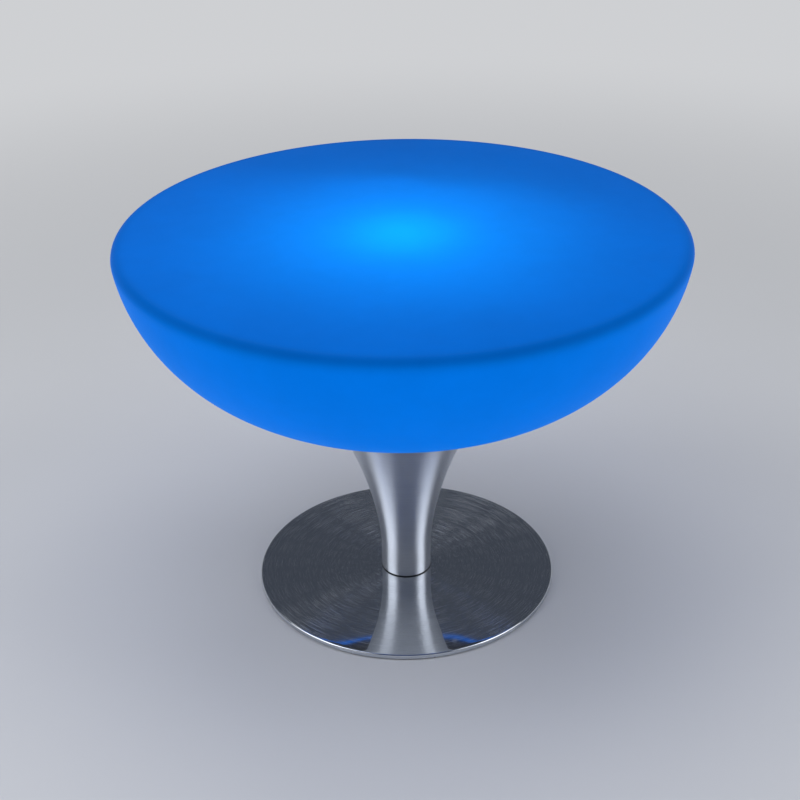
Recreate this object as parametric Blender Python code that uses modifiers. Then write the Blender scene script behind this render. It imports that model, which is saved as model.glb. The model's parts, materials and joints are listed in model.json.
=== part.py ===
"""Light-up table: a moulded bowl top on a spun trumpet column and a round base plate.

Lengths are in metres and +Z is up. The origin is the middle of the footprint, on the floor.
"""
import math

import bmesh
import bpy
from mathutils import Matrix, Vector

# Overall sizes
TOP_RADIUS = 0.420
HEIGHT = 0.600

# Clearance between neighbouring pieces, overrun of every cut, and the distance at which points merge
GAP = 0.0003
OVERRUN = 0.002
MERGE = 0.00005

# Bowl: flat top, rounded rim, side on one arc, and a ring turned in round the opening below
RIM_ROUND = 0.012
SIDE_RADIUS = 0.268
SIDE_CENTRE_RISE = 0.026
BOWL_DEPTH = 0.206
BOWL_WALL = 0.005
BOWL_CORNER = 0.006
RING_WIDTH = 0.0254
RING_THICKNESS = 0.008

# Underside plate, its gasket and the screws that hold the bowl on it
PLATE_INSET = 0.006
PLATE_THICKNESS = 0.0025
GASKET_INSET = 0.001
GASKET_THICKNESS = 0.0015
BOWL_SCREW_COUNT = 6
BOWL_SCREW_TURN = math.radians(9.8)
BOWL_SCREW_RADIUS = 0.0024
BOWL_SCREW_HEAD_RADIUS = 0.0048
BOWL_SCREW_HEAD_HEIGHT = 0.0030
INSERT_RADIUS = 0.0036
INSERT_LENGTH = 0.0065

# Column: straight foot and a flare that widens by a power of its height
COLUMN_RADIUS = 0.040
COLUMN_WALL = 0.0015
COLUMN_FOOT = 0.040
LIP_INSET = 0.258
FLARE_POWER = 1.7

# Base: stainless cover pressed over a steel weight, on a rubber ring
BASE_RADIUS = 0.240
FLOOR_GAP = 0.0015
WEIGHT_THICKNESS = 0.0062
WEIGHT_CHAMFER = 0.0025
COVER_SHEET = 0.001
COVER_ROUND = 0.0025
COVER_BORE = 0.030
FLOOR_RING_INSET = 0.014
FLOOR_RING_WIDTH = 0.014
FLOOR_RING_GROOVE = 0.0025

# Column foot: locating spigot, its screws from below, and a thin gasket
SPIGOT_HEIGHT = 0.018
SPIGOT_CHAMFER = 0.0015
BASE_SCREW_COUNT = 3
BASE_SCREW_CIRCLE = 0.023
BASE_SCREW_RADIUS = 0.003
BASE_SCREW_HEAD_RADIUS = 0.006
BASE_SCREW_HEAD_HEIGHT = 0.003
BASE_SCREW_REACH = 0.012
FOOT_GASKET_THICKNESS = 0.0012
FOOT_GASKET_PROUD = 0.0004

# Tie rod, its nut, and the flange that it pulls down into the mouth of the column
ROD_RADIUS = 0.006
ROD_END = 0.001
ROD_PROUD = 0.003
ROD_CHAMFER = 0.001
FLANGE_THICKNESS = 0.006
NUT_FLATS = 0.019
NUT_HEIGHT = 0.010
NUT_COLLAR_RADIUS = 0.014
NUT_COLLAR_HEIGHT = 0.0022
PLATE_BORE_CLEARANCE = 0.003
FLANGE_BOLT_COUNT = 4
FLANGE_BOLT_INSET = 0.037
FLANGE_BOLT_RADIUS = 0.004
FLANGE_BOLT_HEAD_RADIUS = 0.0065
FLANGE_BOLT_HEAD_HEIGHT = 0.008

# Lamp in the middle of the plate
TRAY_RADIUS = 0.080
TRAY_HEIGHT = 0.026
TRAY_SHEET = 0.0015
TRAY_ROUND = 0.004
TRAY_BRIM = 0.012
TRAY_SCREW_COUNT = 3
BOARD_THICKNESS = 0.0016
LAMP_BOARD_RADIUS = 0.060
LED_COUNT = 4
LED_CIRCLE = 0.032
LED_SIDE = 0.007
LED_HEIGHT = 0.0016
DIFFUSER_RADIUS = 0.072
DIFFUSER_HEIGHT = 0.030
DIFFUSER_RIM = 0.006
DIFFUSER_WALL = 0.002

# Small screws that hold the tray, the strap and the case on the plate
SMALL_SCREW_RADIUS = 0.002
SMALL_SCREW_HEAD_RADIUS = 0.0036
SMALL_SCREW_HEAD_HEIGHT = 0.0026

# Battery: a flat pack of cells side by side in a shrunk wrap, under a strap
CELL_COUNT = 6
CELL_RADIUS = 0.0092
CELL_LENGTH = 0.066
CELL_WRAP = 0.0004
CELL_CROWN = math.radians(60)
STRAP_WIDTH = 0.018
STRAP_SHEET = 0.0015
STRAP_FOOT = 0.013
MODULE_MARGIN = 0.012

# Control case over the push button and the charge socket
CASE_LENGTH = 0.070
CASE_WIDTH = 0.092
CASE_HEIGHT = 0.028
CASE_WALL = 0.002
CASE_LUG = 0.013
CASE_LUG_THICKNESS = 0.003
BUTTON_INSET = 0.024
SOCKET_INSET = 0.026
BEZEL_THICKNESS = 0.002
PANEL_NUT_HEIGHT = 0.003

# Push button
HOUSING_RADIUS = 0.008
HOUSING_BEZEL_RADIUS = 0.011
HOUSING_WALL = 0.0012
HOUSING_LIP = 0.001
HOUSING_LIP_HEIGHT = 0.0015
HOUSING_GRIP = 0.003
HOUSING_NUT_FLATS = 0.022
BUTTON_COLLAR = 0.003
BUTTON_PROUD = 0.0006
BUTTON_EDGE = 0.0004
BUTTON_TRAVEL = 0.002

# Charge socket with its spring flap
SOCKET_RADIUS = 0.011
SOCKET_BEZEL_RADIUS = 0.0135
SOCKET_RECESS_RADIUS = 0.009
SOCKET_RECESS_DEPTH = 0.006
SOCKET_JACK_RADIUS = 0.003
SOCKET_JACK_DEPTH = 0.007
SOCKET_JACK_END = 0.001
SOCKET_PIN_RADIUS = 0.001
SOCKET_NUT_FLATS = 0.028
CAP_RADIUS = 0.0125
CAP_THICKNESS = 0.002
CAP_TAB_WIDTH = 0.006
CAP_TAB_THICKNESS = 0.0016
TAB_INSET = 0.0002
CAP_KNUCKLE_RADIUS = 0.0019
HINGE_OFFSET = 0.0032
HINGE_PIN_RADIUS = 0.0009
HINGE_LUG_WIDTH = 0.003
HINGE_LUG_MARGIN = 0.0022

# Leads on the plate
LEAD_RADIUS = 0.0022
LEAD_MARGIN = 0.010
LEAD_ENTRY_SHARE = 0.25
LEAD_STEP = 0.014
LEAD_STRAIGHT = 0.010
LEAD_ANGLES = [math.radians(a) for a in (145, 120, 90, 60, 38)]
LAMP_LEAD_MARGIN = 0.012
LAMP_LEAD_STUB = 0.006
LAMP_LEAD_ENTRY_SHARE = 0.22
LAMP_LEAD_END_SHARE = 0.12
LAMP_LEAD_START = math.radians(-112)
LAMP_LEAD_ANGLES = [math.radians(a) for a in (-92, -72, -50, -30)]

# Sides of the round pieces
WIDE_STEPS = 48
MIDDLE_STEPS = 36
LAMP_STEPS = 24
PANEL_STEPS = 24
SMALL_STEPS = 10
RIM_POINTS = 4
SIDE_POINTS = 10
FLARE_POINTS = 9
DOME_POINTS = 5
INNER_POINTS = 7
CORNER_POINTS = 3
CROWN_POINTS = 4

# Levels, worked out from the floor up and from the top down
weight_top = FLOOR_GAP + WEIGHT_THICKNESS
cover_under = weight_top + GAP
base_top = cover_under + COVER_SHEET
spigot_bottom = base_top + GAP
foot_gasket_top = base_top + GAP + FOOT_GASKET_THICKNESS
column_bottom = foot_gasket_top + GAP
underside = HEIGHT - BOWL_DEPTH
gasket_top = underside - GAP
gasket_bottom = gasket_top - GASKET_THICKNESS
plate_top = gasket_bottom - GAP
plate_bottom = plate_top - PLATE_THICKNESS
lip_level = plate_bottom - GAP
flange_bottom = lip_level - FLANGE_THICKNESS
nut_bottom = lip_level + GAP
nut_top = nut_bottom + NUT_COLLAR_HEIGHT + NUT_HEIGHT
module_floor = plate_top + GAP
tray_top = module_floor + TRAY_HEIGHT
lamp_board_top = tray_top + GAP + BOARD_THICKNESS
bezel_top = plate_bottom - GAP
bezel_bottom = bezel_top - BEZEL_THICKNESS
socket_top = bezel_bottom + SOCKET_RECESS_DEPTH + SOCKET_JACK_DEPTH + SOCKET_JACK_END
control_board_bottom = socket_top + GAP

# Radii and places that follow from the sizes above
side_centre_level = HEIGHT + SIDE_CENTRE_RISE
side_centre = TOP_RADIUS - RIM_ROUND - math.sqrt(
    (SIDE_RADIUS - RIM_ROUND) ** 2 - (RIM_ROUND + SIDE_CENTRE_RISE) ** 2)
corner_centre_level = underside + BOWL_CORNER
corner_centre = side_centre + math.sqrt(
    (SIDE_RADIUS - BOWL_CORNER) ** 2 - (side_centre_level - corner_centre_level) ** 2)
opening_radius = corner_centre - RING_WIDTH
plate_radius = corner_centre - PLATE_INSET
bowl_screw_circle = (opening_radius + plate_radius) / 2
lip_radius = TOP_RADIUS - LIP_INSET
flange_bolt_circle = lip_radius - FLANGE_BOLT_INSET
floor_ring_outer = BASE_RADIUS - FLOOR_RING_INSET
floor_ring_inner = floor_ring_outer - FLOOR_RING_WIDTH
spigot_radius = COLUMN_RADIUS - COLUMN_WALL - GAP
plate_bore = NUT_COLLAR_RADIUS + PLATE_BORE_CLEARANCE
tray_screw_circle = TRAY_RADIUS + TRAY_BRIM / 2
module_reach = opening_radius - MODULE_MARGIN
pack_radius = CELL_RADIUS + CELL_WRAP
pack_half_width = CELL_COUNT * CELL_RADIUS + CELL_WRAP
pack_outer = -math.sqrt(module_reach ** 2 - pack_half_width ** 2)
pack_centre = pack_outer + CELL_LENGTH / 2
strap_half_span = pack_half_width + GAP + STRAP_SHEET + STRAP_FOOT
strap_screw_offset = pack_half_width + GAP + STRAP_SHEET + STRAP_FOOT / 2
case_outer = math.sqrt(module_reach ** 2 - (CASE_WIDTH / 2) ** 2)
case_centre = case_outer - CASE_LENGTH / 2
case_screw_offset = (CASE_WIDTH + CASE_LUG) / 2
button_y = BUTTON_INSET - CASE_WIDTH / 2
socket_y = CASE_WIDTH / 2 - SOCKET_INSET
lead_circle = lip_radius + LEAD_MARGIN
hinge_x = case_centre + SOCKET_BEZEL_RADIUS + HINGE_OFFSET
hinge_level = bezel_bottom - GAP - CAP_THICKNESS / 2

parts = None
cutters = None


def colour(hex_code):
    """Turn a screen colour into the linear values that a shader takes."""
    values = [int(hex_code[i:i + 2], 16) / 255 for i in (0, 2, 4)]
    return [v / 12.92 if v <= 0.04045 else ((v + 0.055) / 1.055) ** 2.4 for v in values] + [1.0]


MATERIALS = {
    "bowl_plastic": (colour("0070DC"), 0.55, 0.0),
    "stainless": (colour("B9BCC0"), 0.28, 1.0),
    "black_coat": (colour("141517"), 0.50, 0.0),
    "zinc_steel": (colour("A2A5A8"), 0.38, 1.0),
    "black_iron": (colour("26272A"), 0.70, 0.0),
    "rubber": (colour("101112"), 0.85, 0.0),
    "foam": (colour("2B2C2E"), 0.90, 0.0),
    "brass": (colour("C49A4A"), 0.35, 1.0),
    "aluminium": (colour("C9CBCD"), 0.35, 1.0),
    "white_board": (colour("E9ECEC"), 0.45, 0.0),
    "green_board": (colour("1D5A38"), 0.45, 0.0),
    "led_lens": (colour("F4E7A6"), 0.30, 0.0),
    "frosted": (colour("EEF1F4"), 0.50, 0.0),
    "blue_wrap": (colour("1C4FA0"), 0.40, 0.0),
    "case_plastic": (colour("D6D8D8"), 0.55, 0.0),
    "socket_plastic": (colour("1C1D1F"), 0.55, 0.0),
    "lead_sleeve": (colour("17181A"), 0.60, 0.0),
}


def material(name):
    """Give the material of this name, making it the first time."""
    found = bpy.data.materials.get(name)
    if found:
        return found
    base, roughness, metallic = MATERIALS[name]
    made = bpy.data.materials.new(name)
    made.use_nodes = True
    shader = made.node_tree.nodes["Principled BSDF"]
    shader.inputs["Base Color"].default_value = base
    shader.inputs["Roughness"].default_value = roughness
    shader.inputs["Metallic"].default_value = metallic
    return made


def clear_scene():
    """Remove what the file opened with, and make the two collections."""
    global parts, cutters
    for obj in list(bpy.data.objects):
        bpy.data.objects.remove(obj, do_unlink=True)
    parts = bpy.data.collections.new("light_up_table")
    cutters = bpy.data.collections.new("cutters")
    bpy.context.scene.collection.children.link(parts)
    bpy.context.scene.collection.children.link(cutters)


def add_part(name, mesh, finish):
    """Put a mesh in the model as a named piece with its own material."""
    obj = bpy.data.objects.new(name, mesh)
    parts.objects.link(obj)
    if not mesh.materials:
        mesh.materials.append(material(finish))
    return obj


def add_cutter(name, mesh):
    """Put a mesh in the model as a hidden tool for a cut or a join."""
    obj = bpy.data.objects.new(name, mesh)
    cutters.objects.link(obj)
    obj.display_type = "WIRE"
    obj.hide_render = True
    return obj


def profile_mesh(name, points, closed):
    """Make the outline of a turned piece, as (radius, height) pairs down its outer side."""
    mesh = bpy.data.meshes.new(name)
    edges = [(i, i + 1) for i in range(len(points) - 1)]
    if closed:
        edges.append((len(points) - 1, 0))
    mesh.from_pydata([(radius, 0.0, level) for radius, level in points], edges, [])
    return mesh


def turn(obj, steps):
    """Sweep an outline once round the Z axis."""
    screw = obj.modifiers.new("Turn", "SCREW")
    screw.axis = "Z"
    screw.angle = math.tau
    screw.steps = steps
    screw.render_steps = steps
    screw.use_merge_vertices = True
    screw.merge_threshold = MERGE
    screw.use_smooth_shade = False


def turned(name, points, finish, steps, closed=True):
    """Make a turned piece from its outline."""
    obj = add_part(name, profile_mesh(name, points, closed), finish)
    turn(obj, steps)
    return obj


def turned_cutter(name, points, steps, place):
    """Make a turned cutter from an outline that starts and ends on its axis."""
    obj = add_cutter(name, profile_mesh(name, points, False))
    turn(obj, steps)
    obj.location = place
    return obj


def rod_outline(radius, bottom, top):
    """Outline of a plain round bar."""
    return [(0.0, top), (radius, top), (radius, bottom), (0.0, bottom)]


def ring_outline(inner, outer, bottom, top):
    """Outline of a plain ring."""
    return [(inner, top), (outer, top), (outer, bottom), (inner, bottom)]


def arc(centre, level, radius, start, end, count):
    """Points on an arc in the outline's plane, both ends included."""
    angles = [start + (end - start) * i / (count - 1) for i in range(count)]
    return [(centre + radius * math.cos(a), level + radius * math.sin(a)) for a in angles]


def box_mesh(name, low, high):
    """Make a box from its lowest and highest corners."""
    mesh = bpy.data.meshes.new(name)
    shape = bmesh.new()
    size = Vector(high) - Vector(low)
    middle = (Vector(high) + Vector(low)) / 2
    place = Matrix.Translation(middle) @ Matrix.Diagonal((*size, 1.0))
    bmesh.ops.create_cube(shape, size=1.0, matrix=place)
    shape.to_mesh(mesh)
    shape.free()
    return mesh


def cylinder_mesh(name, radius, length, sides, turn_by):
    """Make a cylinder about the origin, turned from the Z axis by a matrix."""
    mesh = bpy.data.meshes.new(name)
    shape = bmesh.new()
    bmesh.ops.create_cone(shape, cap_ends=True, segments=sides, radius1=radius, radius2=radius,
                          depth=length, matrix=turn_by)
    shape.to_mesh(mesh)
    shape.free()
    return mesh


def combine(obj, tool, operation):
    """Cut a tool from a piece, or join it on."""
    boolean = obj.modifiers.new(operation.title() + " " + tool.name, "BOOLEAN")
    boolean.operation = operation
    boolean.solver = "EXACT"
    boolean.object = tool


def curve_to_mesh(curve, name):
    """Turn a curve into a mesh whose caps are welded to its sides."""
    holder = bpy.data.objects.new(name + "_curve", curve)
    cutters.objects.link(holder)
    bpy.context.view_layer.update()
    evaluated = holder.evaluated_get(bpy.context.evaluated_depsgraph_get())
    mesh = bpy.data.meshes.new_from_object(evaluated)
    mesh.name = name
    bpy.data.objects.remove(holder, do_unlink=True)
    bpy.data.curves.remove(curve)
    shape = bmesh.new()
    shape.from_mesh(mesh)
    bmesh.ops.remove_doubles(shape, verts=shape.verts, dist=MERGE)
    bmesh.ops.recalc_face_normals(shape, faces=shape.faces)
    shape.to_mesh(mesh)
    shape.free()
    return mesh


def outline_mesh(name, points, thickness):
    """Make a flat outline into a plate about the XY plane."""
    curve = bpy.data.curves.new(name, "CURVE")
    curve.dimensions = "2D"
    curve.fill_mode = "BOTH"
    curve.extrude = thickness / 2
    spline = curve.splines.new("POLY")
    spline.points.add(len(points) - 1)
    for point, (x, y) in zip(spline.points, points):
        point.co = (x, y, 0.0, 1.0)
    spline.use_cyclic_u = True
    return curve_to_mesh(curve, name)


def hexagon(flats):
    """Corners of a hexagon of this size across its flats."""
    corner = flats / 2 / math.cos(math.pi / 6)
    return [(corner * math.cos(i * math.pi / 3), corner * math.sin(i * math.pi / 3)) for i in range(6)]


def round_the_axis(count, radius, start=0.0):
    """Angles and places of equal pieces round the Z axis."""
    for i in range(count):
        angle = start + i * math.tau / count
        yield i + 1, angle, (radius * math.cos(angle), radius * math.sin(angle), 0.0)


def column_radius(level):
    """Outer radius of the column at a level above its straight foot."""
    rise = max(level - (column_bottom + COLUMN_FOOT), 0.0)
    share = rise / (lip_level - column_bottom - COLUMN_FOOT)
    return COLUMN_RADIUS + (lip_radius - COLUMN_RADIUS) * share ** FLARE_POWER


def column_slope(level):
    """Growth of the column's radius with height."""
    reach = lip_level - column_bottom - COLUMN_FOOT
    share = max(level - (column_bottom + COLUMN_FOOT), 0.0) / reach
    return FLARE_POWER * (lip_radius - COLUMN_RADIUS) / reach * share ** (FLARE_POWER - 1)


def column_inner_radius(level):
    """Inner radius of the column, its wall measured square to the surface."""
    return column_radius(level) - COLUMN_WALL * math.sqrt(1 + column_slope(level) ** 2)


def bowl_outline(offset, bottom, rim_count, count):
    """One surface of the bowl, this far inside its outer face, from the middle of the top down."""
    rim_level = HEIGHT - RIM_ROUND
    rim_centre = TOP_RADIUS - RIM_ROUND
    start = math.atan2(rim_level - side_centre_level, rim_centre - side_centre)
    points = [(0.0, HEIGHT - offset)]
    points += arc(rim_centre, rim_level, RIM_ROUND - offset, math.pi / 2, 0.0, rim_count)
    points += arc(rim_centre, rim_level, RIM_ROUND - offset, 0.0, start, CORNER_POINTS)[1:]
    radius = SIDE_RADIUS - offset
    end = math.atan2(corner_centre_level - side_centre_level, corner_centre - side_centre)
    if bottom > underside:
        end = -math.asin((side_centre_level - bottom) / radius)
    points += arc(side_centre, side_centre_level, radius, start, end, count)[1:]
    return points, end


def make_bowl():
    """Moulded shell with a ring turned in below, drilled for the threaded inserts."""
    outer, end = bowl_outline(0.0, underside, RIM_POINTS, SIDE_POINTS)
    outer += arc(corner_centre, corner_centre_level, BOWL_CORNER, end, -math.pi / 2, CORNER_POINTS)[1:]
    ring_top = underside + RING_THICKNESS
    inner, _ = bowl_outline(BOWL_WALL, ring_top, CORNER_POINTS, INNER_POINTS)
    points = outer + [(opening_radius, underside), (opening_radius, ring_top)] + inner[::-1]
    bowl = turned("bowl", points, "bowl_plastic", WIDE_STEPS, closed=False)
    hole = rod_outline(INSERT_RADIUS + GAP, underside - OVERRUN, ring_top + OVERRUN)
    for number, _, place in round_the_axis(BOWL_SCREW_COUNT, bowl_screw_circle, BOWL_SCREW_TURN):
        combine(bowl, turned_cutter(f"insert_hole_{number}", hole, SMALL_STEPS, place), "DIFFERENCE")


def make_bowl_fasteners():
    """Threaded inserts in the bowl's ring, and the screws that come up into them."""
    insert = ring_outline(BOWL_SCREW_RADIUS + GAP, INSERT_RADIUS, underside + GAP,
                          underside + GAP + INSERT_LENGTH)
    head_top = plate_bottom - GAP
    head_bottom = head_top - BOWL_SCREW_HEAD_HEIGHT
    dome = BOWL_SCREW_HEAD_HEIGHT / 2
    screw = [
        (0.0, underside + INSERT_LENGTH),
        (BOWL_SCREW_RADIUS, underside + INSERT_LENGTH),
        (BOWL_SCREW_RADIUS, head_top),
        (BOWL_SCREW_HEAD_RADIUS, head_top),
        (BOWL_SCREW_HEAD_RADIUS, head_bottom + dome),
        (BOWL_SCREW_HEAD_RADIUS - dome, head_bottom),
        (0.0, head_bottom),
    ]
    for number, angle, place in round_the_axis(BOWL_SCREW_COUNT, bowl_screw_circle, BOWL_SCREW_TURN):
        for name, points, finish in (("bowl_insert", insert, "brass"), ("bowl_screw", screw, "zinc_steel")):
            piece = turned(f"{name}_{number}", points, finish, SMALL_STEPS, closed=points is insert)
            piece.location = place
            piece.rotation_euler.z = angle


def make_plate():
    """Round plate that closes the bowl and carries the lamp, the battery and the controls."""
    points = ring_outline(plate_bore, plate_radius, plate_bottom, plate_top)
    plate = turned("underside_plate", points, "black_coat", WIDE_STEPS)
    low = plate_bottom - OVERRUN
    high = plate_top + OVERRUN
    holes = []
    for _, _, place in round_the_axis(BOWL_SCREW_COUNT, bowl_screw_circle, BOWL_SCREW_TURN):
        holes.append((BOWL_SCREW_RADIUS, place))
    for _, _, place in round_the_axis(FLANGE_BOLT_COUNT, flange_bolt_circle, math.pi / FLANGE_BOLT_COUNT):
        holes.append((FLANGE_BOLT_RADIUS, place))
    for _, _, place in round_the_axis(TRAY_SCREW_COUNT, tray_screw_circle, math.pi / 2):
        holes.append((SMALL_SCREW_RADIUS, place))
    for side in (-1, 1):
        holes.append((SMALL_SCREW_RADIUS, (pack_centre, side * strap_screw_offset, 0.0)))
        holes.append((SMALL_SCREW_RADIUS, (case_centre, side * case_screw_offset, 0.0)))
    holes.append((HOUSING_RADIUS, (case_centre, button_y, 0.0)))
    holes.append((SOCKET_RADIUS, (case_centre, socket_y, 0.0)))
    for number, (radius, place) in enumerate(holes, start=1):
        steps = PANEL_STEPS if radius >= HOUSING_RADIUS else SMALL_STEPS
        cutter = turned_cutter(f"plate_hole_{number}", rod_outline(radius + GAP, low, high), steps, place)
        combine(plate, cutter, "DIFFERENCE")


def make_gasket():
    """Flat seal between the plate and the bowl's ring."""
    inner = opening_radius + GASKET_INSET
    outer = plate_radius - GASKET_INSET
    points = ring_outline(inner, outer, gasket_bottom, gasket_top)
    gasket = turned("bowl_gasket", points, "foam", WIDE_STEPS)
    hole = rod_outline(BOWL_SCREW_RADIUS + GAP, gasket_bottom - OVERRUN, gasket_top + OVERRUN)
    for number, _, place in round_the_axis(BOWL_SCREW_COUNT, bowl_screw_circle, BOWL_SCREW_TURN):
        combine(gasket, turned_cutter(f"gasket_hole_{number}", hole, SMALL_STEPS, place), "DIFFERENCE")


def make_column():
    """Spun trumpet, open at both ends."""
    flare_start = column_bottom + COLUMN_FOOT
    levels = [lip_level + (flare_start - lip_level) * i / FLARE_POINTS for i in range(FLARE_POINTS + 1)]
    levels.append(column_bottom)
    outer = [(column_radius(level), level) for level in levels]
    inner = [(column_inner_radius(level), level) for level in reversed(levels)]
    turned("column", outer + inner, "stainless", MIDDLE_STEPS)


def make_base():
    """Cover, weight and floor ring of the base."""
    side = BASE_RADIUS - COVER_ROUND
    skirt = FLOOR_GAP + GAP
    inside = COVER_ROUND - COVER_SHEET
    cover = [(COVER_BORE, base_top)]
    cover += arc(side, base_top - COVER_ROUND, COVER_ROUND, math.pi / 2, 0.0, CORNER_POINTS)
    cover += [(BASE_RADIUS, skirt), (BASE_RADIUS - COVER_SHEET, skirt)]
    cover += arc(side, base_top - COVER_ROUND, inside, 0.0, math.pi / 2, CORNER_POINTS)
    cover += [(COVER_BORE, cover_under)]
    turned("base_cover", cover, "stainless", WIDE_STEPS)

    edge = BASE_RADIUS - COVER_SHEET - GAP
    groove_inner = floor_ring_inner - GAP
    groove_outer = floor_ring_outer + GAP
    groove_top = FLOOR_GAP + FLOOR_RING_GROOVE
    weight = turned("base_weight", [
        (0.0, weight_top),
        (edge - WEIGHT_CHAMFER, weight_top),
        (edge, weight_top - WEIGHT_CHAMFER),
        (edge, FLOOR_GAP),
        (groove_outer, FLOOR_GAP),
        (groove_outer, groove_top),
        (groove_inner, groove_top),
        (groove_inner, FLOOR_GAP),
        (0.0, FLOOR_GAP),
    ], "black_iron", WIDE_STEPS, closed=False)
    shank = BASE_SCREW_RADIUS + GAP
    head = BASE_SCREW_HEAD_RADIUS + GAP
    cone_top = FLOOR_GAP + BASE_SCREW_HEAD_HEIGHT + GAP
    countersink = [
        (0.0, weight_top + OVERRUN),
        (shank, weight_top + OVERRUN),
        (shank, cone_top),
        (head, FLOOR_GAP + GAP),
        (head, FLOOR_GAP - OVERRUN),
        (0.0, FLOOR_GAP - OVERRUN),
    ]
    for number, _, place in round_the_axis(BASE_SCREW_COUNT, BASE_SCREW_CIRCLE):
        cutter = turned_cutter(f"countersink_{number}", countersink, SMALL_STEPS, place)
        combine(weight, cutter, "DIFFERENCE")

    ring = ring_outline(floor_ring_inner, floor_ring_outer, 0.0, groove_top - GAP)
    turned("floor_ring", ring, "rubber", WIDE_STEPS)


def make_foot():
    """Spigot that centres the column, its screws from below, and the foot gasket."""
    spigot_top = spigot_bottom + SPIGOT_HEIGHT
    spigot = turned("column_spigot", [
        (ROD_RADIUS + GAP, spigot_top),
        (spigot_radius - SPIGOT_CHAMFER, spigot_top),
        (spigot_radius, spigot_top - SPIGOT_CHAMFER),
        (spigot_radius, spigot_bottom),
        (ROD_RADIUS + GAP, spigot_bottom),
    ], "zinc_steel", MIDDLE_STEPS)
    screw_top = spigot_bottom + BASE_SCREW_REACH
    hole = rod_outline(BASE_SCREW_RADIUS + GAP, spigot_bottom - OVERRUN, screw_top + GAP)
    head_bottom = FLOOR_GAP + GAP
    screw = [
        (0.0, screw_top),
        (BASE_SCREW_RADIUS, screw_top),
        (BASE_SCREW_RADIUS, head_bottom + BASE_SCREW_HEAD_HEIGHT),
        (BASE_SCREW_HEAD_RADIUS, head_bottom),
        (0.0, head_bottom),
    ]
    for number, _, place in round_the_axis(BASE_SCREW_COUNT, BASE_SCREW_CIRCLE):
        combine(spigot, turned_cutter(f"spigot_hole_{number}", hole, SMALL_STEPS, place), "DIFFERENCE")
        turned(f"base_screw_{number}", screw, "zinc_steel", SMALL_STEPS, closed=False).location = place
    turned("foot_gasket", ring_outline(spigot_radius + GAP, COLUMN_RADIUS + FOOT_GASKET_PROUD,
                                       base_top + GAP, foot_gasket_top), "rubber", MIDDLE_STEPS)


def make_tie_rod():
    """Rod from the spigot up through the flange, its collared nut, and the flange in the mouth."""
    low = spigot_bottom + ROD_END
    high = nut_top + ROD_PROUD
    turned("tie_rod", [
        (0.0, high),
        (ROD_RADIUS - ROD_CHAMFER, high),
        (ROD_RADIUS, high - ROD_CHAMFER),
        (ROD_RADIUS, low),
        (0.0, low),
    ], "zinc_steel", SMALL_STEPS, closed=False)

    flange_radius = column_inner_radius(flange_bottom) - GAP
    disc = ring_outline(ROD_RADIUS + GAP, flange_radius, flange_bottom, lip_level)
    flange = turned("mounting_flange", disc, "zinc_steel", MIDDLE_STEPS)
    hole = rod_outline(FLANGE_BOLT_RADIUS + GAP, flange_bottom - OVERRUN, lip_level + OVERRUN)
    head_bottom = plate_top + GAP
    bolt = [
        (0.0, head_bottom + FLANGE_BOLT_HEAD_HEIGHT),
        (FLANGE_BOLT_HEAD_RADIUS, head_bottom + FLANGE_BOLT_HEAD_HEIGHT),
        (FLANGE_BOLT_HEAD_RADIUS, head_bottom),
        (FLANGE_BOLT_RADIUS, head_bottom),
        (FLANGE_BOLT_RADIUS, flange_bottom),
        (0.0, flange_bottom),
    ]
    turn_by = math.pi / FLANGE_BOLT_COUNT
    for number, _, place in round_the_axis(FLANGE_BOLT_COUNT, flange_bolt_circle, turn_by):
        combine(flange, turned_cutter(f"flange_hole_{number}", hole, SMALL_STEPS, place), "DIFFERENCE")
        turned(f"flange_bolt_{number}", bolt, "zinc_steel", SMALL_STEPS, closed=False).location = place

    collar_top = nut_bottom + NUT_COLLAR_HEIGHT
    nut = turned("flange_nut", ring_outline(ROD_RADIUS + GAP, NUT_COLLAR_RADIUS, nut_bottom, collar_top),
                 "zinc_steel", SMALL_STEPS)
    crown = outline_mesh("nut_crown", hexagon(NUT_FLATS), nut_top - collar_top + OVERRUN / 2)
    crown.transform(Matrix.Translation((0.0, 0.0, (nut_top + collar_top - OVERRUN / 2) / 2)))
    combine(nut, add_cutter("nut_crown", crown), "UNION")
    thread = rod_outline(ROD_RADIUS + GAP, nut_bottom - OVERRUN, nut_top + OVERRUN)
    combine(nut, turned_cutter("nut_thread", thread, SMALL_STEPS, (0.0, 0.0, 0.0)), "DIFFERENCE")


def make_small_screw(name, place, seat):
    """Pan screw with its head on a seat and its shank down to the plate's lower face."""
    head_bottom = seat + GAP
    head_top = head_bottom + SMALL_SCREW_HEAD_HEIGHT
    dome = SMALL_SCREW_HEAD_HEIGHT / 2
    screw = [
        (0.0, head_top),
        (SMALL_SCREW_HEAD_RADIUS - dome, head_top),
        (SMALL_SCREW_HEAD_RADIUS, head_top - dome),
        (SMALL_SCREW_HEAD_RADIUS, head_bottom),
        (SMALL_SCREW_RADIUS, head_bottom),
        (SMALL_SCREW_RADIUS, plate_bottom),
        (0.0, plate_bottom),
    ]
    turned(name, screw, "zinc_steel", SMALL_STEPS, closed=False).location = place


def drill_seat(obj, name, place, seat):
    """Drill the hole of a small screw down through its seat."""
    hole = rod_outline(SMALL_SCREW_RADIUS + GAP, module_floor - OVERRUN, seat + OVERRUN)
    combine(obj, turned_cutter(name, hole, SMALL_STEPS, place), "DIFFERENCE")


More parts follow.
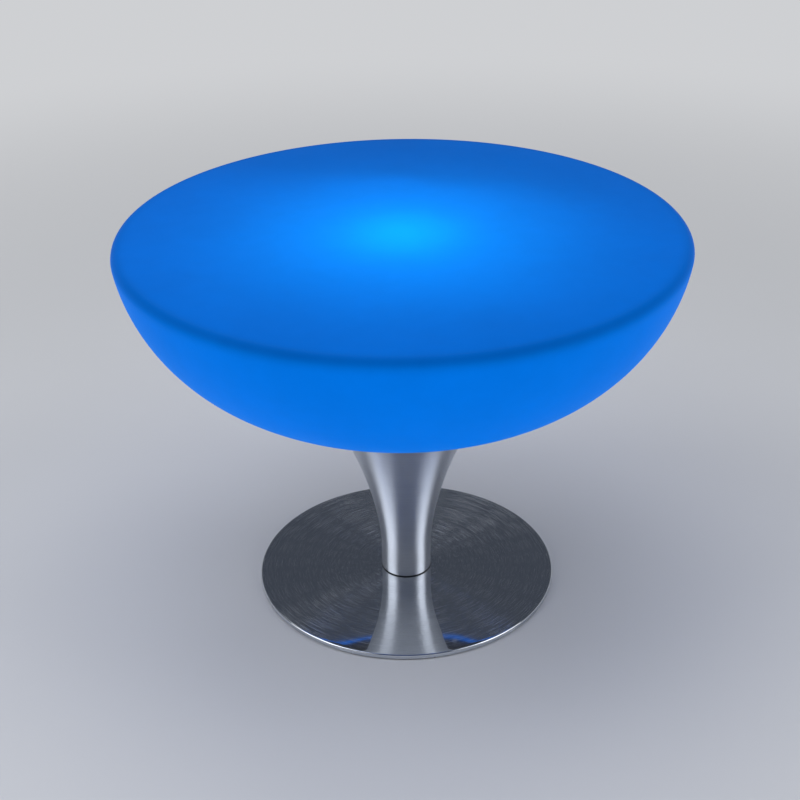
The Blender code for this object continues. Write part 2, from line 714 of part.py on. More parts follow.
def make_lamp():
    """Tray, board, light sources and diffuser dome."""
    under = tray_top - TRAY_SHEET
    brim_top = module_floor + TRAY_SHEET
    tray = turned("lamp_tray", [
        (0.0, tray_top),
        (TRAY_RADIUS - TRAY_ROUND, tray_top),
        (TRAY_RADIUS, tray_top - TRAY_ROUND),
        (TRAY_RADIUS, brim_top),
        (TRAY_RADIUS + TRAY_BRIM, brim_top),
        (TRAY_RADIUS + TRAY_BRIM, module_floor),
        (TRAY_RADIUS - TRAY_SHEET, module_floor),
        (TRAY_RADIUS - TRAY_SHEET, under - TRAY_ROUND),
        (TRAY_RADIUS - TRAY_SHEET - TRAY_ROUND, under),
        (0.0, under),
    ], "aluminium", LAMP_STEPS, closed=False)
    for number, _, place in round_the_axis(TRAY_SCREW_COUNT, tray_screw_circle, math.pi / 2):
        drill_seat(tray, f"tray_hole_{number}", place, brim_top)
        make_small_screw(f"tray_screw_{number}", place, brim_top)

    turned("lamp_board", rod_outline(LAMP_BOARD_RADIUS, tray_top + GAP, lamp_board_top),
           "white_board", LAMP_STEPS, closed=False)

    half = LED_SIDE / 2
    led_bottom = lamp_board_top + GAP
    led = box_mesh("led", (-half, -half, led_bottom), (half, half, led_bottom + LED_HEIGHT))
    for number, angle, place in round_the_axis(LED_COUNT, LED_CIRCLE):
        piece = add_part(f"led_{number}", led, "led_lens")
        piece.location = place
        piece.rotation_euler.z = angle

    bottom = tray_top + GAP
    spring = bottom + DIFFUSER_RIM
    rise = DIFFUSER_HEIGHT - DIFFUSER_RIM
    angles = [math.pi / 2 * (1 - i / DOME_POINTS) for i in range(DOME_POINTS + 1)]
    outer = [(DIFFUSER_RADIUS * math.cos(a), spring + rise * math.sin(a)) for a in angles]
    inside = DIFFUSER_RADIUS - DIFFUSER_WALL
    rise_inside = rise - DIFFUSER_WALL
    inner = [(inside * math.cos(a), spring + rise_inside * math.sin(a)) for a in reversed(angles)]
    outer[0] = (0.0, spring + rise)
    inner[-1] = (0.0, spring + rise_inside)
    points = outer + [(DIFFUSER_RADIUS, bottom), (inside, bottom)] + inner
    turned("lamp_diffuser", points, "frosted", LAMP_STEPS, closed=False)


def make_battery():
    """Battery pack along X, and the strap across it."""
    centre_level = module_floor + pack_radius
    first = (CELL_COUNT - 1) * CELL_RADIUS
    outline = []
    for side in (1, -1):
        for i in range(CELL_COUNT):
            y = side * (first - 2 * i * CELL_RADIUS)
            start = math.pi / 2 - CELL_CROWN / 2 if i else 0.0
            end = math.pi / 2 + CELL_CROWN / 2 if i < CELL_COUNT - 1 else math.pi
            for step in range(CROWN_POINTS):
                angle = start + (end - start) * step / (CROWN_POINTS - 1)
                reach = side * pack_radius
                outline.append((y + reach * math.cos(angle), reach * math.sin(angle)))
        # The side's last point is the next side's first one
        outline.pop()
    upright = Matrix.Rotation(math.pi / 2, 4, "Z") @ Matrix.Rotation(math.pi / 2, 4, "X")
    mesh = outline_mesh("battery_pack", outline, CELL_LENGTH)
    mesh.transform(Matrix.Translation((pack_centre, 0.0, centre_level)) @ upright)
    add_part("battery_pack", mesh, "blue_wrap")

    inner = pack_half_width + GAP
    outer = inner + STRAP_SHEET
    under = 2 * pack_radius + GAP
    half = [
        (inner, under),
        (inner, 0.0),
        (strap_half_span, 0.0),
        (strap_half_span, STRAP_SHEET),
        (outer, STRAP_SHEET),
        (outer, under + STRAP_SHEET),
    ]
    outline = half + [(-y, z) for y, z in reversed(half)]
    mesh = outline_mesh("battery_strap", outline, STRAP_WIDTH)
    mesh.transform(Matrix.Translation((pack_centre, 0.0, module_floor)) @ upright)
    strap = add_part("battery_strap", mesh, "aluminium")
    seat = module_floor + STRAP_SHEET
    for number, side in enumerate((-1, 1), start=1):
        place = (pack_centre, side * strap_screw_offset, 0.0)
        drill_seat(strap, f"strap_hole_{number}", place, seat)
        make_small_screw(f"strap_screw_{number}", place, seat)


def make_case():
    """Control case, open below, with a lug at each end, and the board inside it."""
    half_length = CASE_LENGTH / 2
    half_width = CASE_WIDTH / 2
    top = module_floor + CASE_HEIGHT
    case = add_part("control_case", box_mesh(
        "control_case",
        (case_centre - half_length, -half_width, module_floor),
        (case_centre + half_length, half_width, top)), "case_plastic")
    lug_half = CASE_LUG / 2
    seat = module_floor + CASE_LUG_THICKNESS
    lugs = box_mesh(
        "case_lugs",
        (case_centre - lug_half, -half_width - CASE_LUG, module_floor),
        (case_centre + lug_half, half_width + CASE_LUG, seat))
    combine(case, add_cutter("case_lugs", lugs), "UNION")
    hollow = box_mesh(
        "case_hollow",
        (case_centre - half_length + CASE_WALL, -half_width + CASE_WALL, module_floor - OVERRUN),
        (case_centre + half_length - CASE_WALL, half_width - CASE_WALL, top - CASE_WALL))
    combine(case, add_cutter("case_hollow", hollow), "DIFFERENCE")
    for number, side in enumerate((-1, 1), start=1):
        place = (case_centre, side * case_screw_offset, 0.0)
        drill_seat(case, f"case_hole_{number}", place, seat)
        make_small_screw(f"case_screw_{number}", place, seat)

    board_length = half_length - CASE_WALL - GAP
    board_width = half_width - CASE_WALL - GAP
    add_part("control_board", box_mesh(
        "control_board",
        (case_centre - board_length, -board_width, control_board_bottom),
        (case_centre + board_length, board_width, control_board_bottom + BOARD_THICKNESS)), "green_board")


def make_panel_nut(name, flats, bore, place):
    """Hexagon nut on the upper face of the plate, round a panel fitting."""
    mesh = outline_mesh(name, hexagon(flats), PANEL_NUT_HEIGHT)
    mesh.transform(Matrix.Translation((0.0, 0.0, module_floor + PANEL_NUT_HEIGHT / 2)))
    nut = add_part(name, mesh, "zinc_steel")
    nut.location = place
    thread = rod_outline(bore, module_floor - OVERRUN, module_floor + PANEL_NUT_HEIGHT + OVERRUN)
    combine(nut, turned_cutter(name + "_thread", thread, PANEL_STEPS, place), "DIFFERENCE")


def make_button():
    """Push button: housing through the plate, its nut, the button and the switch above it."""
    place = (case_centre, button_y, 0.0)
    bore = HOUSING_RADIUS - HOUSING_WALL
    lip = bore - HOUSING_LIP
    lip_top = bezel_bottom + HOUSING_LIP_HEIGHT
    collar_bottom = lip_top + GAP
    collar_top = collar_bottom + BUTTON_COLLAR
    switch_bottom = collar_top + BUTTON_TRAVEL + GAP
    housing_top = switch_bottom + HOUSING_GRIP
    turned("button_housing", [
        (bore, housing_top),
        (HOUSING_RADIUS, housing_top),
        (HOUSING_RADIUS, bezel_top),
        (HOUSING_BEZEL_RADIUS, bezel_top),
        (HOUSING_BEZEL_RADIUS, bezel_bottom + BUTTON_EDGE),
        (HOUSING_BEZEL_RADIUS - BUTTON_EDGE, bezel_bottom),
        (lip, bezel_bottom),
        (lip, lip_top),
        (bore, lip_top),
    ], "stainless", PANEL_STEPS).location = place
    make_panel_nut("button_nut", HOUSING_NUT_FLATS, HOUSING_RADIUS + GAP, place)

    face = bezel_bottom - BUTTON_PROUD
    button = turned("power_button", [
        (0.0, collar_top),
        (bore - GAP, collar_top),
        (bore - GAP, collar_bottom),
        (lip - GAP, collar_bottom),
        (lip - GAP, face + BUTTON_EDGE),
        (lip - GAP - BUTTON_EDGE, face),
        (0.0, face),
    ], "stainless", PANEL_STEPS, closed=False)
    button.location = place
    turned("button_switch", rod_outline(bore - GAP, switch_bottom, socket_top), "black_coat",
           SMALL_STEPS, closed=False).location = place


def make_socket():
    """Charge socket with its hinge lugs, its nut, the flap and the hinge pin."""
    place = (case_centre, socket_y, 0.0)
    recess_top = bezel_bottom + SOCKET_RECESS_DEPTH
    jack_top = recess_top + SOCKET_JACK_DEPTH
    pin_tip = recess_top + SOCKET_JACK_END
    socket = turned("charge_socket", [
        (0.0, socket_top),
        (SOCKET_RADIUS, socket_top),
        (SOCKET_RADIUS, bezel_top),
        (SOCKET_BEZEL_RADIUS, bezel_top),
        (SOCKET_BEZEL_RADIUS, bezel_bottom),
        (SOCKET_RECESS_RADIUS, bezel_bottom),
        (SOCKET_RECESS_RADIUS, recess_top),
        (SOCKET_JACK_RADIUS, recess_top),
        (SOCKET_JACK_RADIUS, jack_top),
        (SOCKET_PIN_RADIUS, jack_top),
        (SOCKET_PIN_RADIUS, pin_tip),
        (0.0, pin_tip),
    ], "socket_plastic", PANEL_STEPS, closed=False)
    socket.location = place
    slot = CAP_TAB_WIDTH / 2 + GAP
    for number, side in enumerate((-1, 1), start=1):
        near = socket_y + side * slot
        far = socket_y + side * (slot + HINGE_LUG_WIDTH)
        lug = box_mesh(
            f"hinge_lug_{number}",
            (case_centre + CAP_RADIUS, min(near, far), hinge_level - HINGE_LUG_MARGIN),
            (hinge_x + HINGE_LUG_MARGIN, max(near, far), bezel_bottom + BEZEL_THICKNESS / 2))
        combine(socket, add_cutter(f"hinge_lug_{number}", lug), "UNION")
    along_y = Matrix.Rotation(math.pi / 2, 4, "X")
    span = 2 * (slot + HINGE_LUG_WIDTH)
    bore = add_cutter("hinge_bore", cylinder_mesh(
        "hinge_bore", HINGE_PIN_RADIUS + GAP, span + 2 * OVERRUN, SMALL_STEPS, along_y))
    bore.location = (hinge_x, socket_y, hinge_level)
    combine(socket, bore, "DIFFERENCE")
    pin = add_part("flap_hinge_pin", cylinder_mesh(
        "flap_hinge_pin", HINGE_PIN_RADIUS, span, SMALL_STEPS, along_y), "stainless")
    pin.location = (hinge_x, socket_y, hinge_level)
    make_panel_nut("socket_nut", SOCKET_NUT_FLATS, SOCKET_RADIUS + GAP, place)

    half = CAP_THICKNESS / 2
    reach = hinge_x - case_centre
    mesh = profile_mesh("socket_flap", rod_outline(CAP_RADIUS, -half, half), False)
    disc = add_cutter("flap_disc", mesh)
    turn(disc, PANEL_STEPS)
    disc.location = (case_centre, socket_y, hinge_level)
    knuckle = cylinder_mesh("socket_flap", CAP_KNUCKLE_RADIUS, CAP_TAB_WIDTH, SMALL_STEPS, along_y)
    flap = add_part("socket_flap", knuckle, "rubber")
    flap.location = (hinge_x, socket_y, hinge_level)
    tab_half = CAP_TAB_WIDTH / 2 - TAB_INSET
    tab = add_cutter("flap_tab", box_mesh(
        "flap_tab",
        (SOCKET_RECESS_RADIUS - reach, -tab_half, -CAP_TAB_THICKNESS / 2),
        (0.0, tab_half, CAP_TAB_THICKNESS / 2)))
    tab.location = flap.location
    combine(flap, tab, "UNION")
    combine(flap, disc, "UNION")
    combine(flap, bore, "DIFFERENCE")


def smooth_route(points):
    """Points at an even step along a smooth curve through the route's own points."""
    places = [Vector(p) for p in points]
    ways = [(places[min(i + 1, len(places) - 1)] - places[max(i - 1, 0)]).normalized()
            for i in range(len(places))]
    fine = []
    for start, end, way_in, way_out in zip(places, places[1:], ways, ways[1:]):
        length = (end - start).length
        count = max(1, round(length / LEAD_STEP))
        for i in range(count):
            t = i / count
            place = (2 * t ** 3 - 3 * t ** 2 + 1) * start + (3 * t ** 2 - 2 * t ** 3) * end
            place += (t ** 3 - 2 * t ** 2 + t) * length * way_in
            place += (t ** 3 - t ** 2) * length * way_out
            fine.append(place)
    fine.append(places[-1])
    return fine


def make_lead(name, points):
    """Round lead along a smooth route."""
    curve = bpy.data.curves.new(name, "CURVE")
    curve.dimensions = "3D"
    curve.bevel_depth = LEAD_RADIUS
    curve.bevel_resolution = 2
    curve.use_fill_caps = True
    route = smooth_route(points)
    spline = curve.splines.new("POLY")
    spline.points.add(len(route) - 1)
    for point, place in zip(spline.points, route):
        point.co = (*place, 1.0)
    add_part(name, curve_to_mesh(curve, name), "lead_sleeve")


def make_leads():
    """Leads from the battery and from the lamp to the control case."""
    level = module_floor + LEAD_RADIUS
    pack_inner = pack_centre + CELL_LENGTH / 2 + GAP
    case_inner = case_centre - CASE_LENGTH / 2 - GAP
    pack_y = LEAD_ENTRY_SHARE * CELL_COUNT * CELL_RADIUS
    case_y = LEAD_ENTRY_SHARE * CASE_WIDTH
    route = [(pack_inner, pack_y, level), (pack_inner + LEAD_STRAIGHT, pack_y, level)]
    for angle in LEAD_ANGLES:
        route.append((lead_circle * math.cos(angle), lead_circle * math.sin(angle), level))
    route += [(case_inner - LEAD_STRAIGHT, case_y, level), (case_inner, case_y, level)]
    make_lead("battery_lead", route)

    tray_outer = TRAY_RADIUS + TRAY_BRIM + GAP
    circle = TRAY_RADIUS + TRAY_BRIM + LAMP_LEAD_MARGIN
    entry_y = -LAMP_LEAD_ENTRY_SHARE * CASE_WIDTH
    end = LAMP_LEAD_END_SHARE * (case_inner - tray_outer)
    stops = [(tray_outer, LAMP_LEAD_START), (tray_outer + LAMP_LEAD_STUB, LAMP_LEAD_START)]
    stops += [(circle, angle) for angle in LAMP_LEAD_ANGLES]
    route = [(radius * math.cos(angle), radius * math.sin(angle), level) for radius, angle in stops]
    route += [(case_inner - end, entry_y, level), (case_inner, entry_y, level)]
    make_lead("lamp_lead", route)


def smooth_round_pieces():
    """Shade the round pieces smooth, and keep their edges sharp."""
    for obj in parts.objects:
        obj.data.shade_smooth()
        if obj.data.polygons:
            obj.data.set_sharp_from_angle(angle=math.radians(30))
        for modifier in obj.modifiers:
            if modifier.type == "SCREW":
                modifier.use_smooth_shade = True


def main():
    clear_scene()
    make_base()
    make_foot()
    make_column()
    make_tie_rod()
    make_plate()
    make_gasket()
    make_bowl()
    make_bowl_fasteners()
    make_lamp()
    make_battery()
    make_case()
    make_button()
    make_socket()
    make_leads()
    smooth_round_pieces()


main()
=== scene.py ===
"""Light-up table: the finished pieces, their materials and a plain studio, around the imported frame.

It is laid out as a Blender add-on and runs as a script. Lengths are in metres and +Z is up.
"""
import json
import math
from functools import cache

import bmesh
import bpy
from bpy.props import FloatProperty, FloatVectorProperty, IntProperty, PointerProperty
from mathutils import Matrix, Vector


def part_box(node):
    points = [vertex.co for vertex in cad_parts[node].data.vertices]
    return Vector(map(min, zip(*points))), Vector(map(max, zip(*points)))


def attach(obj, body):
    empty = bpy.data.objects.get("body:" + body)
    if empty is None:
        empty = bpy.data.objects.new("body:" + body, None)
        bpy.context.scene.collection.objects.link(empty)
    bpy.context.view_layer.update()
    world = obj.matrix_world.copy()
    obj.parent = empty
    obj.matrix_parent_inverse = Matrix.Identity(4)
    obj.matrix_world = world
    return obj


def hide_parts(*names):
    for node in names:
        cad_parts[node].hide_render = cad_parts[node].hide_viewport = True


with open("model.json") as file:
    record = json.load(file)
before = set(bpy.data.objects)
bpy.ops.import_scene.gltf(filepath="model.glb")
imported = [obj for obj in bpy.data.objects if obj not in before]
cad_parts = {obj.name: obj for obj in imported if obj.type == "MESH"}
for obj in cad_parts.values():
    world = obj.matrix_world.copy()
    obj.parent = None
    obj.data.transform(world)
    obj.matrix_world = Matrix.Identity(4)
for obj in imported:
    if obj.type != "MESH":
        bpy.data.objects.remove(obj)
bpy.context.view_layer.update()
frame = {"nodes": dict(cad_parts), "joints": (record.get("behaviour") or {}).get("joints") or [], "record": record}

bl_info = {
    "name": "Light-up table",
    "version": (1, 0, 0),
    "blender": (4, 5, 0),
    "location": "3D View > Sidebar > Light-up table",
    "description": "Makes the finished pieces of a light-up table around its packed frame",
    "category": "Object",
}

PHOTO_SIDE = 800

# Places that come from the frame
BOWL_LOW, BOWL_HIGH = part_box("bowl")
PLATE_LOW, PLATE_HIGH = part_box("underside_plate")
COLUMN_LOW, COLUMN_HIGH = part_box("column")
COVER_LOW, COVER_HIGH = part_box("base_cover")
WEIGHT_LOW, WEIGHT_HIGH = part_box("base_weight")
RING_LOW, RING_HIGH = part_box("floor_ring")
SLOT_OF = {row["node"]: row["material_slot"] for row in frame["record"]["subparts"]}
BODY_OF = {node: body for body, nodes in frame["record"]["behaviour"]["bodies"].items() for node in nodes}
HINGE = Vector(next(joint["pos_m"] for joint in frame["joints"] if joint["name"] == "flap_hinge"))
RING_MIDDLE = next(mount["pos_m"][0] for mount in frame["record"]["mounts"] if mount["name"] == "floor_rest")

# Distance at which points merge, overrun of every cut, and the gap between neighbouring pieces
MERGE = 0.000002
OVERRUN = 0.002
GAP = 0.0003

# Small roundings, chamfers and seams, from an edge that is only just broken to one that feels soft
BROKEN = 0.0001
CUT = 0.0002
TURNED = 0.0003
EASED = 0.0004
SOFT = 0.0006

# Share of an edge that the rounding at one end may take, and the angle from which an edge looks sharp
EDGE_SHARE = 1 / 2.2
CREASE = math.radians(32)

# Depth of a brush scratch, and width of the camera's sensor in millimetres
SCRATCH_DEPTH = 0.00001
SENSOR_WIDTH = 36.0

# Level of the floor, just under the ring, and how far inside the weight's edge its clear middle ends
FLOOR_LEVEL = -0.0001
FLOOR_INSET = 0.01

# Lamps of the stage: name, place, width and height. Their power is in the stage's settings
LAMPS = [
    ("key_lamp", (-2.3, -0.66, 2.7), 2.4, 3.0),
    ("side_lamp", (2.3, -0.66, 2.3), 1.8, 2.6),
    ("top_lamp", (0.0, 0.4, 3.6), 2.6, 2.6),
    ("back_lamp", (-0.6, 2.4, 3.4), 2.0, 1.2),
]


def middle(node):
    """Centre of a node's box."""
    low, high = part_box(node)
    return (low + high) / 2


def numbered(stem, count):
    """Names of like nodes or pieces, which are numbered from one."""
    return [f"{stem}_{number}" for number in range(1, count + 1)]


# Nodes that repeat
BASE_SCREWS = numbered("base_screw", 3)
BOWL_SCREWS = numbered("bowl_screw", 6)
BOWL_INSERTS = numbered("bowl_insert", 6)
FLANGE_BOLTS = numbered("flange_bolt", 4)
TRAY_SCREWS = numbered("tray_screw", 3)
STRAP_SCREWS = numbered("strap_screw", 2)
CASE_SCREWS = numbered("case_screw", 2)
SMALL_SCREWS = TRAY_SCREWS + STRAP_SCREWS + CASE_SCREWS
LEDS = numbered("led", 4)


def length(name, description, default):
    """A length that a user may change."""
    return FloatProperty(name=name, description=description, default=default, min=0.0,
                         precision=4, unit="LENGTH")


def tint(name, description, default):
    """A colour that a user may change, as linear values."""
    return FloatVectorProperty(name=name, description=description, default=default, min=0.0,
                               soft_max=1.0, size=3, subtype="COLOR")


def amount(name, description, default):
    """A plain number that a user may change."""
    return FloatProperty(name=name, description=description, default=default, precision=3)


def power(name, description, default):
    """A lamp's power that a user may change."""
    return FloatProperty(name=name, description=description, default=default, min=0.0, unit="POWER")


def angle(name, description, default):
    """An angle that a user may change."""
    return FloatProperty(name=name, description=description, default=default, subtype="ANGLE")


# Sizes and colours that a user would change


class TableBowl(bpy.types.PropertyGroup):
    """Shape and glow of the moulded bowl."""
    rim_round: length("Rim rounding", "Radius of the edge between the top and the side", 0.012)
    side_radius: length("Side radius", "Radius of the arc that the side follows", 0.268)
    side_rise: length("Side centre rise", "Height of that arc's centre above the top", 0.026)
    wall: length("Wall", "Thickness of the moulded wall", 0.005)
    corner: length("Lower corner", "Radius where the side turns in to the ring", 0.006)
    ring_width: length("Ring width", "Width of the ring round the opening", 0.0254)
    ring_thickness: length("Ring thickness", "Thickness of that ring", 0.008)
    ring_edge: length("Ring edge", "Rounding of the ring's edges at the opening", 0.0008)
    insert_hole: length("Insert hole", "Radius of the holes for the threaded inserts", 0.0039)
    # Base colour painted dark blue, standing in for the lamp's blue light on the plastic; the glow is added on top
    plastic: tint("Plastic", "Colour of the plastic before its own light is added", (0.0, 0.022, 0.085))
    top_glow: tint("Top glow", "Light of the top near its rim", (0.0, 0.108, 0.525))
    wide_glow: tint("Wide glow", "Light that the lamp adds over the top", (0.0, 0.165, 0.55))
    spot_glow: tint("Spot glow", "Light that the lamp adds straight above it", (0.0, 0.14, 0.10))
    side_glow: tint("Side glow", "Light of the side", (0.0, 0.157, 0.715))
    lamp_shift: length("Lamp shift", "How far the glow lies in front of the middle", 0.014)
    wide_reach: length("Wide reach", "Radius of the wide glow", 0.215)
    spot_reach: length("Spot reach", "Radius of the spot above the lamp", 0.075)
    # Painted shade at the back of the top: where its edge lies, how soft, wide and tilted it is, and how much
    # light is left behind it
    back_edge: length("Back edge", "How far behind the middle the top turns dimmer", 0.222)
    back_blur: length("Back blur", "Half the width of that edge in the middle", 0.03)
    back_widening: amount("Back widening", "How much wider the edge grows to the sides", 0.28)
    back_lean: amount("Back lean", "How much nearer the edge comes on the right", 0.42)
    back_light: amount("Back light", "Share of the light behind the edge in the middle", 0.79)
    back_lift: amount("Back lift", "How much that share grows to the sides", 0.27)
    # Painted shade along the rounded rim of the top: how much darker the glow is painted there
    front_rim_shade: amount("Front fold", "How much darker the rounded rim is in front", 0.30)
    side_rim_shade: amount("Side fold", "How much darker it is at the sides and the back", 0.21)


class TableColumn(bpy.types.PropertyGroup):
    """Shape of the spun column."""
    foot_radius: length("Foot radius", "Outer radius of the straight foot", 0.040)
    foot_height: length("Foot height", "Height of the straight foot", 0.040)
    wall: length("Wall", "Thickness of the sheet", 0.0015)
    edge: length("Edge", "Rounding of the cut edges", 0.0003)
    power: amount("Flare power", "How late the column flares out", 1.7)


class TableBase(bpy.types.PropertyGroup):
    """Shape of the base plate."""
    cover_round: length("Cover rounding", "Radius of the pressed edge", 0.0025)
    sheet: length("Sheet", "Thickness of the pressed cover", 0.001)
    bore: length("Bore", "Radius of the hole under the column", 0.030)
    fall: length("Fall", "How far the pressed top falls towards its rim", 0.0004)
    fall_start: length("Fall start", "Radius from which the top falls", 0.145)
    chamfer: length("Weight chamfer", "Chamfer of the weight under the cover", 0.0025)
    groove_depth: length("Groove depth", "Depth of the groove for the floor ring", 0.0025)
    screw_head: length("Screw head", "Radius of the screw heads below", 0.006)
    screw_shank: length("Screw shank", "Radius of those screws", 0.003)
    screw_height: length("Head height", "Height of the countersunk heads", 0.003)
    hex_key: length("Hex key", "Size of the hexagon recess in the screws", 0.0036)


class TableFittings(bpy.types.PropertyGroup):
    """Sizes of the screws, the button and the charge socket."""
    plate_bore: length("Plate bore", "Radius of the hole round the flange nut", 0.017)
    plate_edge: length("Plate edge", "Rounding of the plate's rim", 0.0007)
    screw_head: length("Screw head", "Radius of the pan heads below the plate", 0.0048)
    screw_shank: length("Screw shank", "Radius of those screws", 0.0024)
    hex_key: length("Hex key", "Size of the hexagon recess in them", 0.0030)
    bolt_shank: length("Bolt shank", "Radius of the flange bolts", 0.004)
    small_shank: length("Small shank", "Radius of the small screws", 0.002)
    housing: length("Housing", "Radius of the button's housing", 0.008)
    housing_wall: length("Housing wall", "Wall of the housing", 0.0012)
    housing_lip: length("Housing lip", "Lip that keeps the button in", 0.001)
    housing_lip_height: length("Lip height", "Height of that lip", 0.0015)
    grip: length("Grip", "Plain length of both barrels, between bezel and thread", 0.003)
    button_collar: length("Button collar", "Height of the collar that the lip holds", 0.003)
    dish: length("Dish", "Depth of the dish in the button's face", 0.0004)
    socket: length("Socket", "Radius of the charge socket's body", 0.011)
    socket_bezel: length("Socket bezel", "Radius of the socket's bezel", 0.0135)
    recess: length("Recess", "Radius of the socket's recess", 0.009)
    recess_depth: length("Recess depth", "Depth of the recess", 0.006)
    jack: length("Jack", "Radius of the hole for the charger's plug", 0.003)
    jack_depth: length("Jack depth", "Depth of that hole", 0.007)
    contact: length("Contact", "Radius of the contact pin", 0.001)
    bezel_thickness: length("Bezel thickness", "Thickness of both bezels", 0.002)
    cap: length("Flap", "Radius of the socket's flap", 0.0125)
    cap_thickness: length("Flap thickness", "Thickness of the flap", 0.002)
    knuckle: length("Knuckle", "Radius of the flap's hinge knuckle", 0.0019)
    knuckle_width: length("Knuckle width", "Width of that knuckle", 0.006)
    pin: length("Hinge pin", "Radius of the hinge pin", 0.0009)
    lug_width: length("Lug width", "Width of each hinge lug", 0.003)
    lug_margin: length("Lug margin", "Metal round the pin in each lug", 0.0022)


class TableInner(bpy.types.PropertyGroup):
    """Sizes of the pieces inside."""
    pitch: length("Pitch", "Pitch of the larger threads", 0.0015)
    fine_pitch: length("Fine pitch", "Pitch of the smaller threads", 0.0008)
    thread: length("Thread depth", "Depth of the larger threads", 0.0005)
    fine_thread: length("Fine thread depth", "Depth of the smaller threads", 0.00025)
    rod: length("Rod", "Radius of the tie rod", 0.006)
    rod_thread: length("Rod thread", "Length of the thread at each end of the rod", 0.022)
    nut_flats: length("Nut flats", "Width across the flats of the flange nut", 0.019)
    nut_collar: length("Nut collar", "Height of the flange nut's collar", 0.0022)
    bolt_head: length("Bolt head", "Height of the flange bolts' heads", 0.008)
    bolt_key: length("Bolt key", "Size of the hexagon recess in them", 0.006)
    small_head: length("Small head", "Height of the small screws' heads", 0.0026)
    sheet: length("Sheet", "Thickness of the tray and the strap", 0.0015)
    bend: length("Bend", "Outer radius of the tray's bends", 0.004)
    brim: length("Brim", "Width of the tray's brim", 0.012)
    diffuser_rim: length("Diffuser rim", "Straight height of the diffuser", 0.006)
    diffuser_wall: length("Diffuser wall", "Wall of the diffuser", 0.002)
    cells: IntProperty(name="Cells", description="Cells side by side in the battery", default=6, min=1)
    cell: length("Cell", "Radius of one cell", 0.0092)
    case_wall: length("Case wall", "Wall of the control case", 0.002)
    case_lug: length("Case lug", "Reach of the control case's lugs", 0.013)
    lug_sheet: length("Lug thickness", "Thickness of those lugs", 0.003)


class TableFinish(bpy.types.PropertyGroup):
    """Colours of the plated and brushed steel and of the black coat, and the brushing of the aluminium."""
    steel: tint("Stainless steel", "Colour of the brushed steel", (0.62, 0.65, 0.70))
    black: tint("Black coat", "Colour of the underside plate", (0.008, 0.009, 0.011))
    zinc: tint("Zinc", "Colour of the plated screws", (0.46, 0.48, 0.50))
    lines: amount("Brush lines", "Brush lines per metre on the spun aluminium", 1400.0)


class TableStage(bpy.types.PropertyGroup):
    """Camera, lamps and floor."""
    floor: tint("Floor", "Colour of the floor and of the light low down", (0.62, 0.63, 0.65))
    ceiling: tint("Ceiling", "Light from all round, high up", (0.07, 0.08, 0.10))
    floor_radius: length("Floor radius", "Radius of the floor", 14.0)
    fade_start: length("Fade start", "Radius from which the floor turns into an even backdrop", 0.8)
    fade_end: length("Fade end", "Radius from which the floor is an even backdrop", 3.2)
    key_lamp: power("Key lamp", "Power of the large lamp on the left", 55.0)
    side_lamp: power("Side lamp", "Power of the lamp on the right", 34.0)
    top_lamp: power("Top lamp", "Power of the lamp overhead", 42.0)
    back_lamp: power("Back lamp", "Power of the lamp behind", 10.0)
    focal_pixels: amount("Focal length", "Focal length in pixels of the photograph", 1421.0)
    distance: length("Distance", "From the camera to the point that it turns about", 2.205)
    aim_height: length("Aim height", "Height of that point", 0.3166)
    aim_side: FloatProperty(name="Aim side", description="Offset of that point to the right",
                            default=-0.0066, precision=4, unit="LENGTH")
    pitch: angle("Pitch", "How far the camera looks down", 0.5032)
    roll: angle("Roll", "Turn of the camera about its own view", -0.0152)


# Outlines and meshes


def arc(centre, level, radius, start, end, count):
    """Points on an arc in an outline's plane, both ends included."""
    angles = [start + (end - start) * i / (count - 1) for i in range(count)]
    return [(centre + radius * math.cos(a), level + radius * math.sin(a)) for a in angles]


def softened(corners, steps=4):
    """Outline of (radius, height, rounding) corners, with each corner that has a rounding made round."""
    points = []
    for i, (x, z, rounding) in enumerate(corners):
        if rounding == 0.0:
            points.append((x, z))
            continue
        here = Vector((x, z))
        back = Vector(corners[i - 1][:2]) - here
        onward = Vector(corners[(i + 1) % len(corners)][:2]) - here
        reach = min(rounding / math.tan(back.angle(onward) / 2),
                    back.length * EDGE_SHARE, onward.length * EDGE_SHARE)
        start = here + back.normalized() * reach
        end = here + onward.normalized() * reach
        for step in range(steps + 1):
            t = step / steps
            points.append(tuple((1 - t) ** 2 * start + 2 * t * (1 - t) * here + t ** 2 * end))
    return points


def plain(points):
    """Outline points as corners without a rounding."""
    return [(x, z, 0.0) for x, z in points]


def rod_outline(radius, low, high, edge=0.0):
    """Outline of a round bar or disc, with this rounding at both ends."""
    return softened([(0.0, high, 0.0), (radius, high, edge), (radius, low, edge), (0.0, low, 0.0)])


def ring_outline(inner, outer, low, high, edge):
    """Outline of a flat ring, with its four edges rounded."""
    return softened([(inner, high, edge), (outer, high, edge), (outer, low, edge), (inner, low, edge)])


def made_mesh(name, shape):
    """The mesh of a shape, which is then freed."""
    mesh = bpy.data.meshes.new(name)
    shape.to_mesh(mesh)
    shape.free()
    return mesh


def turned_mesh(name, outline, steps):
    """Mesh swept once round the Z axis. An outline that starts on the axis ends there, and others close."""
    shape = bmesh.new()
    ring = [shape.verts.new((x, 0.0, z)) for x, z in outline]
    pairs = list(zip(ring, ring[1:]))
    if outline[0][0] > 0.0:
        pairs.append((ring[-1], ring[0]))
    edges = [shape.edges.new(pair) for pair in pairs]
    bmesh.ops.spin(shape, geom=ring + edges, cent=(0, 0, 0), axis=(0, 0, 1), dvec=(0, 0, 0),
                   angle=math.tau, steps=steps, use_merge=True)
    bmesh.ops.remove_doubles(shape, verts=shape.verts, dist=MERGE)
    bmesh.ops.recalc_face_normals(shape, faces=shape.faces)
    return made_mesh(name, shape)


